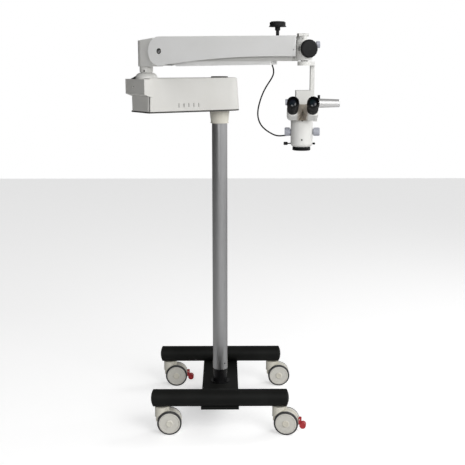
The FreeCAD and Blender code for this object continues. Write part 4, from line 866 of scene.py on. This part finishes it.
DISC_FACE = 32.9  # from the middle of a castor to the outer face of its wheels
fit_copies(
    axle_cap(),
    (look["cream_enamel"], "castor_plastic"),
    {
        f"axle_cap_{corner}_{word}": (
            aside(axle_of(corner), y=DISC_FACE * side) @ turned(-90 * side, "X"),
            f"wheels_{corner}",
        )
        for corner in CASTORS
        for word, side in SIDES.items()
    },
)

# %% [markdown]
# ## The lever's tip and the handle's end
#
# The clamp lever ends in a black sleeve on its left: a cone with a rounded end. The tilt handle
# is a round aluminium grip, and the dished ring closes its end.

# %% Lever tip and handle cap


def sleeve(base, end, length):
    """A tapered sleeve with a rounded end, from the origin upwards."""
    cone = begin(
        "cone", vertices=48, radius1=base * MM, radius2=end * MM, depth=length * MM
    )
    break_top_edge(cone, 0.35 * end, segments=4)
    stand(length)
    return cone


lever = aside(over("lever_clamp", 1.583, 0), x=-20) @ turned(-90, "Y")
fit_copies(
    sleeve(base=5.5, end=5.2, length=6.2),
    (look["dark_plastic"], "gloss_black"),
    {"lever_tip": (lever, "lever")},
)
HANDLE_START, HANDLE_REACH = 54.4, 76.4  # from the tilt axis to the handle, and its length
handle_end = aside(SCOPE @ turned(90, "Y"), x=3.2, z=HANDLE_START + HANDLE_REACH)
fit_copies(
    dished_ring(outer=12.0, inner=9.5, thick=0.8),
    (look["cast_metal"], "brushed_aluminium"),
    {"handle_cap": (handle_end, "microscope")},
)

# %% [markdown]
# ## The lamp cable
#
# The lamp behind the microscope gets its current through a thin black cable. It leaves the duct
# under the arm, hangs in a long loop on the left, and comes back up into the lamp house. Both
# ends show, so its length is known. A NURBS curve that follows the points of the model's own
# cable gives the smooth hang. It is read twice: bare, for the points along its middle, and as a
# tube.

# %% Lamp cable
LEAD_THICK = 0.005
CABLE_ROUTE = [
    (187.8, -524.4, 1483.3),
    (197.1, -528.2, 1461.4),
    (188.7, -532.5, 1438.4),
    (168.4, -536.8, 1411.8),
    (153.4, -541.0, 1382.2),
    (143.2, -545.2, 1352.5),
    (136.6, -549.5, 1322.7),
    (138.4, -553.8, 1296.1),
    (150.0, -558.0, 1271.3),
    (172.1, -560.0, 1253.4),
    (198.8, -560.5, 1238.7),
    (218.5, -560.0, 1237.2),
    (238.1, -559.0, 1240.0),
    (259.4, -558.3, 1241.0),
]
line = bpy.data.curves.new("lead_line", "CURVE")
line.dimensions = "3D"
line.resolution_u = 12
route = line.splines.new("NURBS")
route.points.add(len(CABLE_ROUTE) - 1)
for point, spot in zip(route.points, CABLE_ROUTE):
    point.co = (*(COLUMN.translation + Vector(spot) * MM), 1)
route.order_u = 4
route.use_endpoint_u = True
guide = bpy.data.objects.new("lead_guide", line)
bpy.context.collection.objects.link(guide)
middle_line = [vertex.co.copy() for vertex in bpy.data.meshes.new_from_object(guide).vertices]
lead_path = [tuple(spot) for spot in middle_line]
line.bevel_depth = LEAD_THICK / 2
line.bevel_resolution = 6
line.use_fill_caps = True
tube = bpy.data.meshes.new_from_object(guide)
bpy.data.objects.remove(guide)
print("lead", len(lead_path), "points along it")

# %% [markdown]
# ## A lead in three stretches
#
# The lead crosses three joints: the head levels itself on the arm, the drop arm swings under the
# head, and the microscope tilts. It is parted into three stretches, one for each joint. A stretch
# is the whole tube with the faces of the other two deleted, told apart by the nearest point along
# it.

# %% Part the lead
place_along = [
    min(
        range(len(middle_line)),
        key=lambda i: (middle_line[i] - vertex.co).length_squared,
    )
    for vertex in tube.vertices
]


def lead_piece(name, first, last):
    """The stretch of the lead between two points of its path, as a piece of its own."""
    piece = bpy.data.objects.new(name, tube.copy())
    bpy.context.collection.objects.link(piece)
    bpy.ops.object.select_all(action="DESELECT")
    bpy.context.view_layer.objects.active = piece
    piece.select_set(True)
    pick(piece, lambda f: not first <= min(place_along[v.index] for v in f.verts) < last)
    bpy.ops.mesh.delete(type="FACE")
    bpy.ops.object.mode_set(mode="OBJECT")
    bpy.ops.object.shade_smooth_by_angle(angle=math.radians(40))
    piece.data.materials.clear()
    piece.data.materials.append(look["cable_rubber"])
    return piece


SEAMS = (0, 62, 118, len(lead_path))  # points of the path where a stretch starts or ends
CROSSES = (("arm", "head"), ("head", "drop"), ("drop", "microscope"))
for number, (above, below) in enumerate(CROSSES):
    first, last = SEAMS[number], SEAMS[number + 1]
    piece = lead_piece(f"lamp_lead_{number + 1}", first, last)
    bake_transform(piece)
    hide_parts("lamp_cable")

# %% [markdown]
# ## The floor
#
# The photograph has a white ground. The floor is a plain pale sheet that keeps the shadow. Camera
# rays see it lifted by a glow, which Light Path's Is Camera Ray switches, so the glow puts no
# light on the object.

# %% Floor
FLOOR_GLOW = (0.5, 0.5, 0.5, 1)
ground = begin("plane", size=16)
ground.name = "studio_floor"
sheet = Finish("studio_sheet")
sheet.surface(color=(0.8, 0.8, 0.8), roughness=0.9)
camera_ray = sheet.node("LightPath", out="Is Camera Ray")
glow = sheet.node("Emission", {}, {"Color": FLOOR_GLOW, "Strength": camera_ray})
lifted = sheet.node("AddShader", {}, {0: Value(sheet, sheet.shader.outputs[0]), 1: glow})
sheet.feed(sheet.tree.nodes["Material Output"].inputs[0], lifted)
ground.data.materials.append(sheet.material)
print("floor", round(ground.dimensions.x, 1), "m wide")

# %% [markdown]
# ## The sky
#
# The camera, and glass that it looks through, see plain white. For all other rays the world is a
# soft wall of light that grows from left to right, as beside a large window, so that the metal
# gets a dark and a bright side.

# %% World
world = bpy.data.worlds.new("studio")
bpy.context.scene.world = world
world.use_nodes = True
sky = NodeSheet(world.node_tree)
seen = sky.node(
    "Math",
    {"operation": "MAXIMUM"},
    {
        0: sky.node("LightPath", out="Is Camera Ray"),
        1: sky.node("LightPath", out="Is Transmission Ray"),
    },
)
east = sky.node("SeparateXYZ", {}, {0: sky.node("TexCoord", out="Generated")})
ramp = {"Value": east, "From Min": -0.15, "From Max": 0.95, "To Min": 0.05, "To Max": 1.05}
levels = {"Value": seen, "To Min": sky.node("MapRange", {}, ramp), "To Max": 1.0}
backdrop = world.node_tree.nodes["Background"]
sky.feed(backdrop.inputs["Color"], (1, 1, 1, 1))
sky.feed(backdrop.inputs["Strength"], sky.node("MapRange", {}, levels))
print("sky", len(sky.tree.nodes), "nodes")

# %% [markdown]
# ## The lamps
#
# The photograph's light is soft and comes from the upper right, with a weaker one beside the
# camera. A third lamp behind the stand draws a thin bright edge. Round area lamps give round
# reflections in the knobs and lenses.

# %% Lamps
# name: place, aim, diameter in metres, watts
LAMPS = {
    "key_lamp": ((2.1, -3.0, 2.9), (0.1, -0.1, 1.3), 2.6, 78),
    "fill_lamp": ((-0.7, -4.0, 2.3), (0, 0, 1.4), 1.8, 46),
    "rim_lamp": ((2.6, 1.6, 2.8), (0, 0, 1.0), 1.4, 22),
}
for name, (spot, aim, size, power) in LAMPS.items():
    lamp = bpy.data.lights.new(name, "AREA")
    lamp.shape = "DISK"
    lamp.size = size
    lamp.energy = power
    light = bpy.data.objects.new(name, lamp)
    bpy.context.collection.objects.link(light)
    light.location = spot
    light.rotation_euler = (Vector(aim) - Vector(spot)).to_track_quat("-Z", "Y").to_euler()
print("lamps", len(LAMPS))

# %% [markdown]
# ## The last update
#
# The view layer is updated once more.

# %% Finish
bpy.context.view_layer.update()
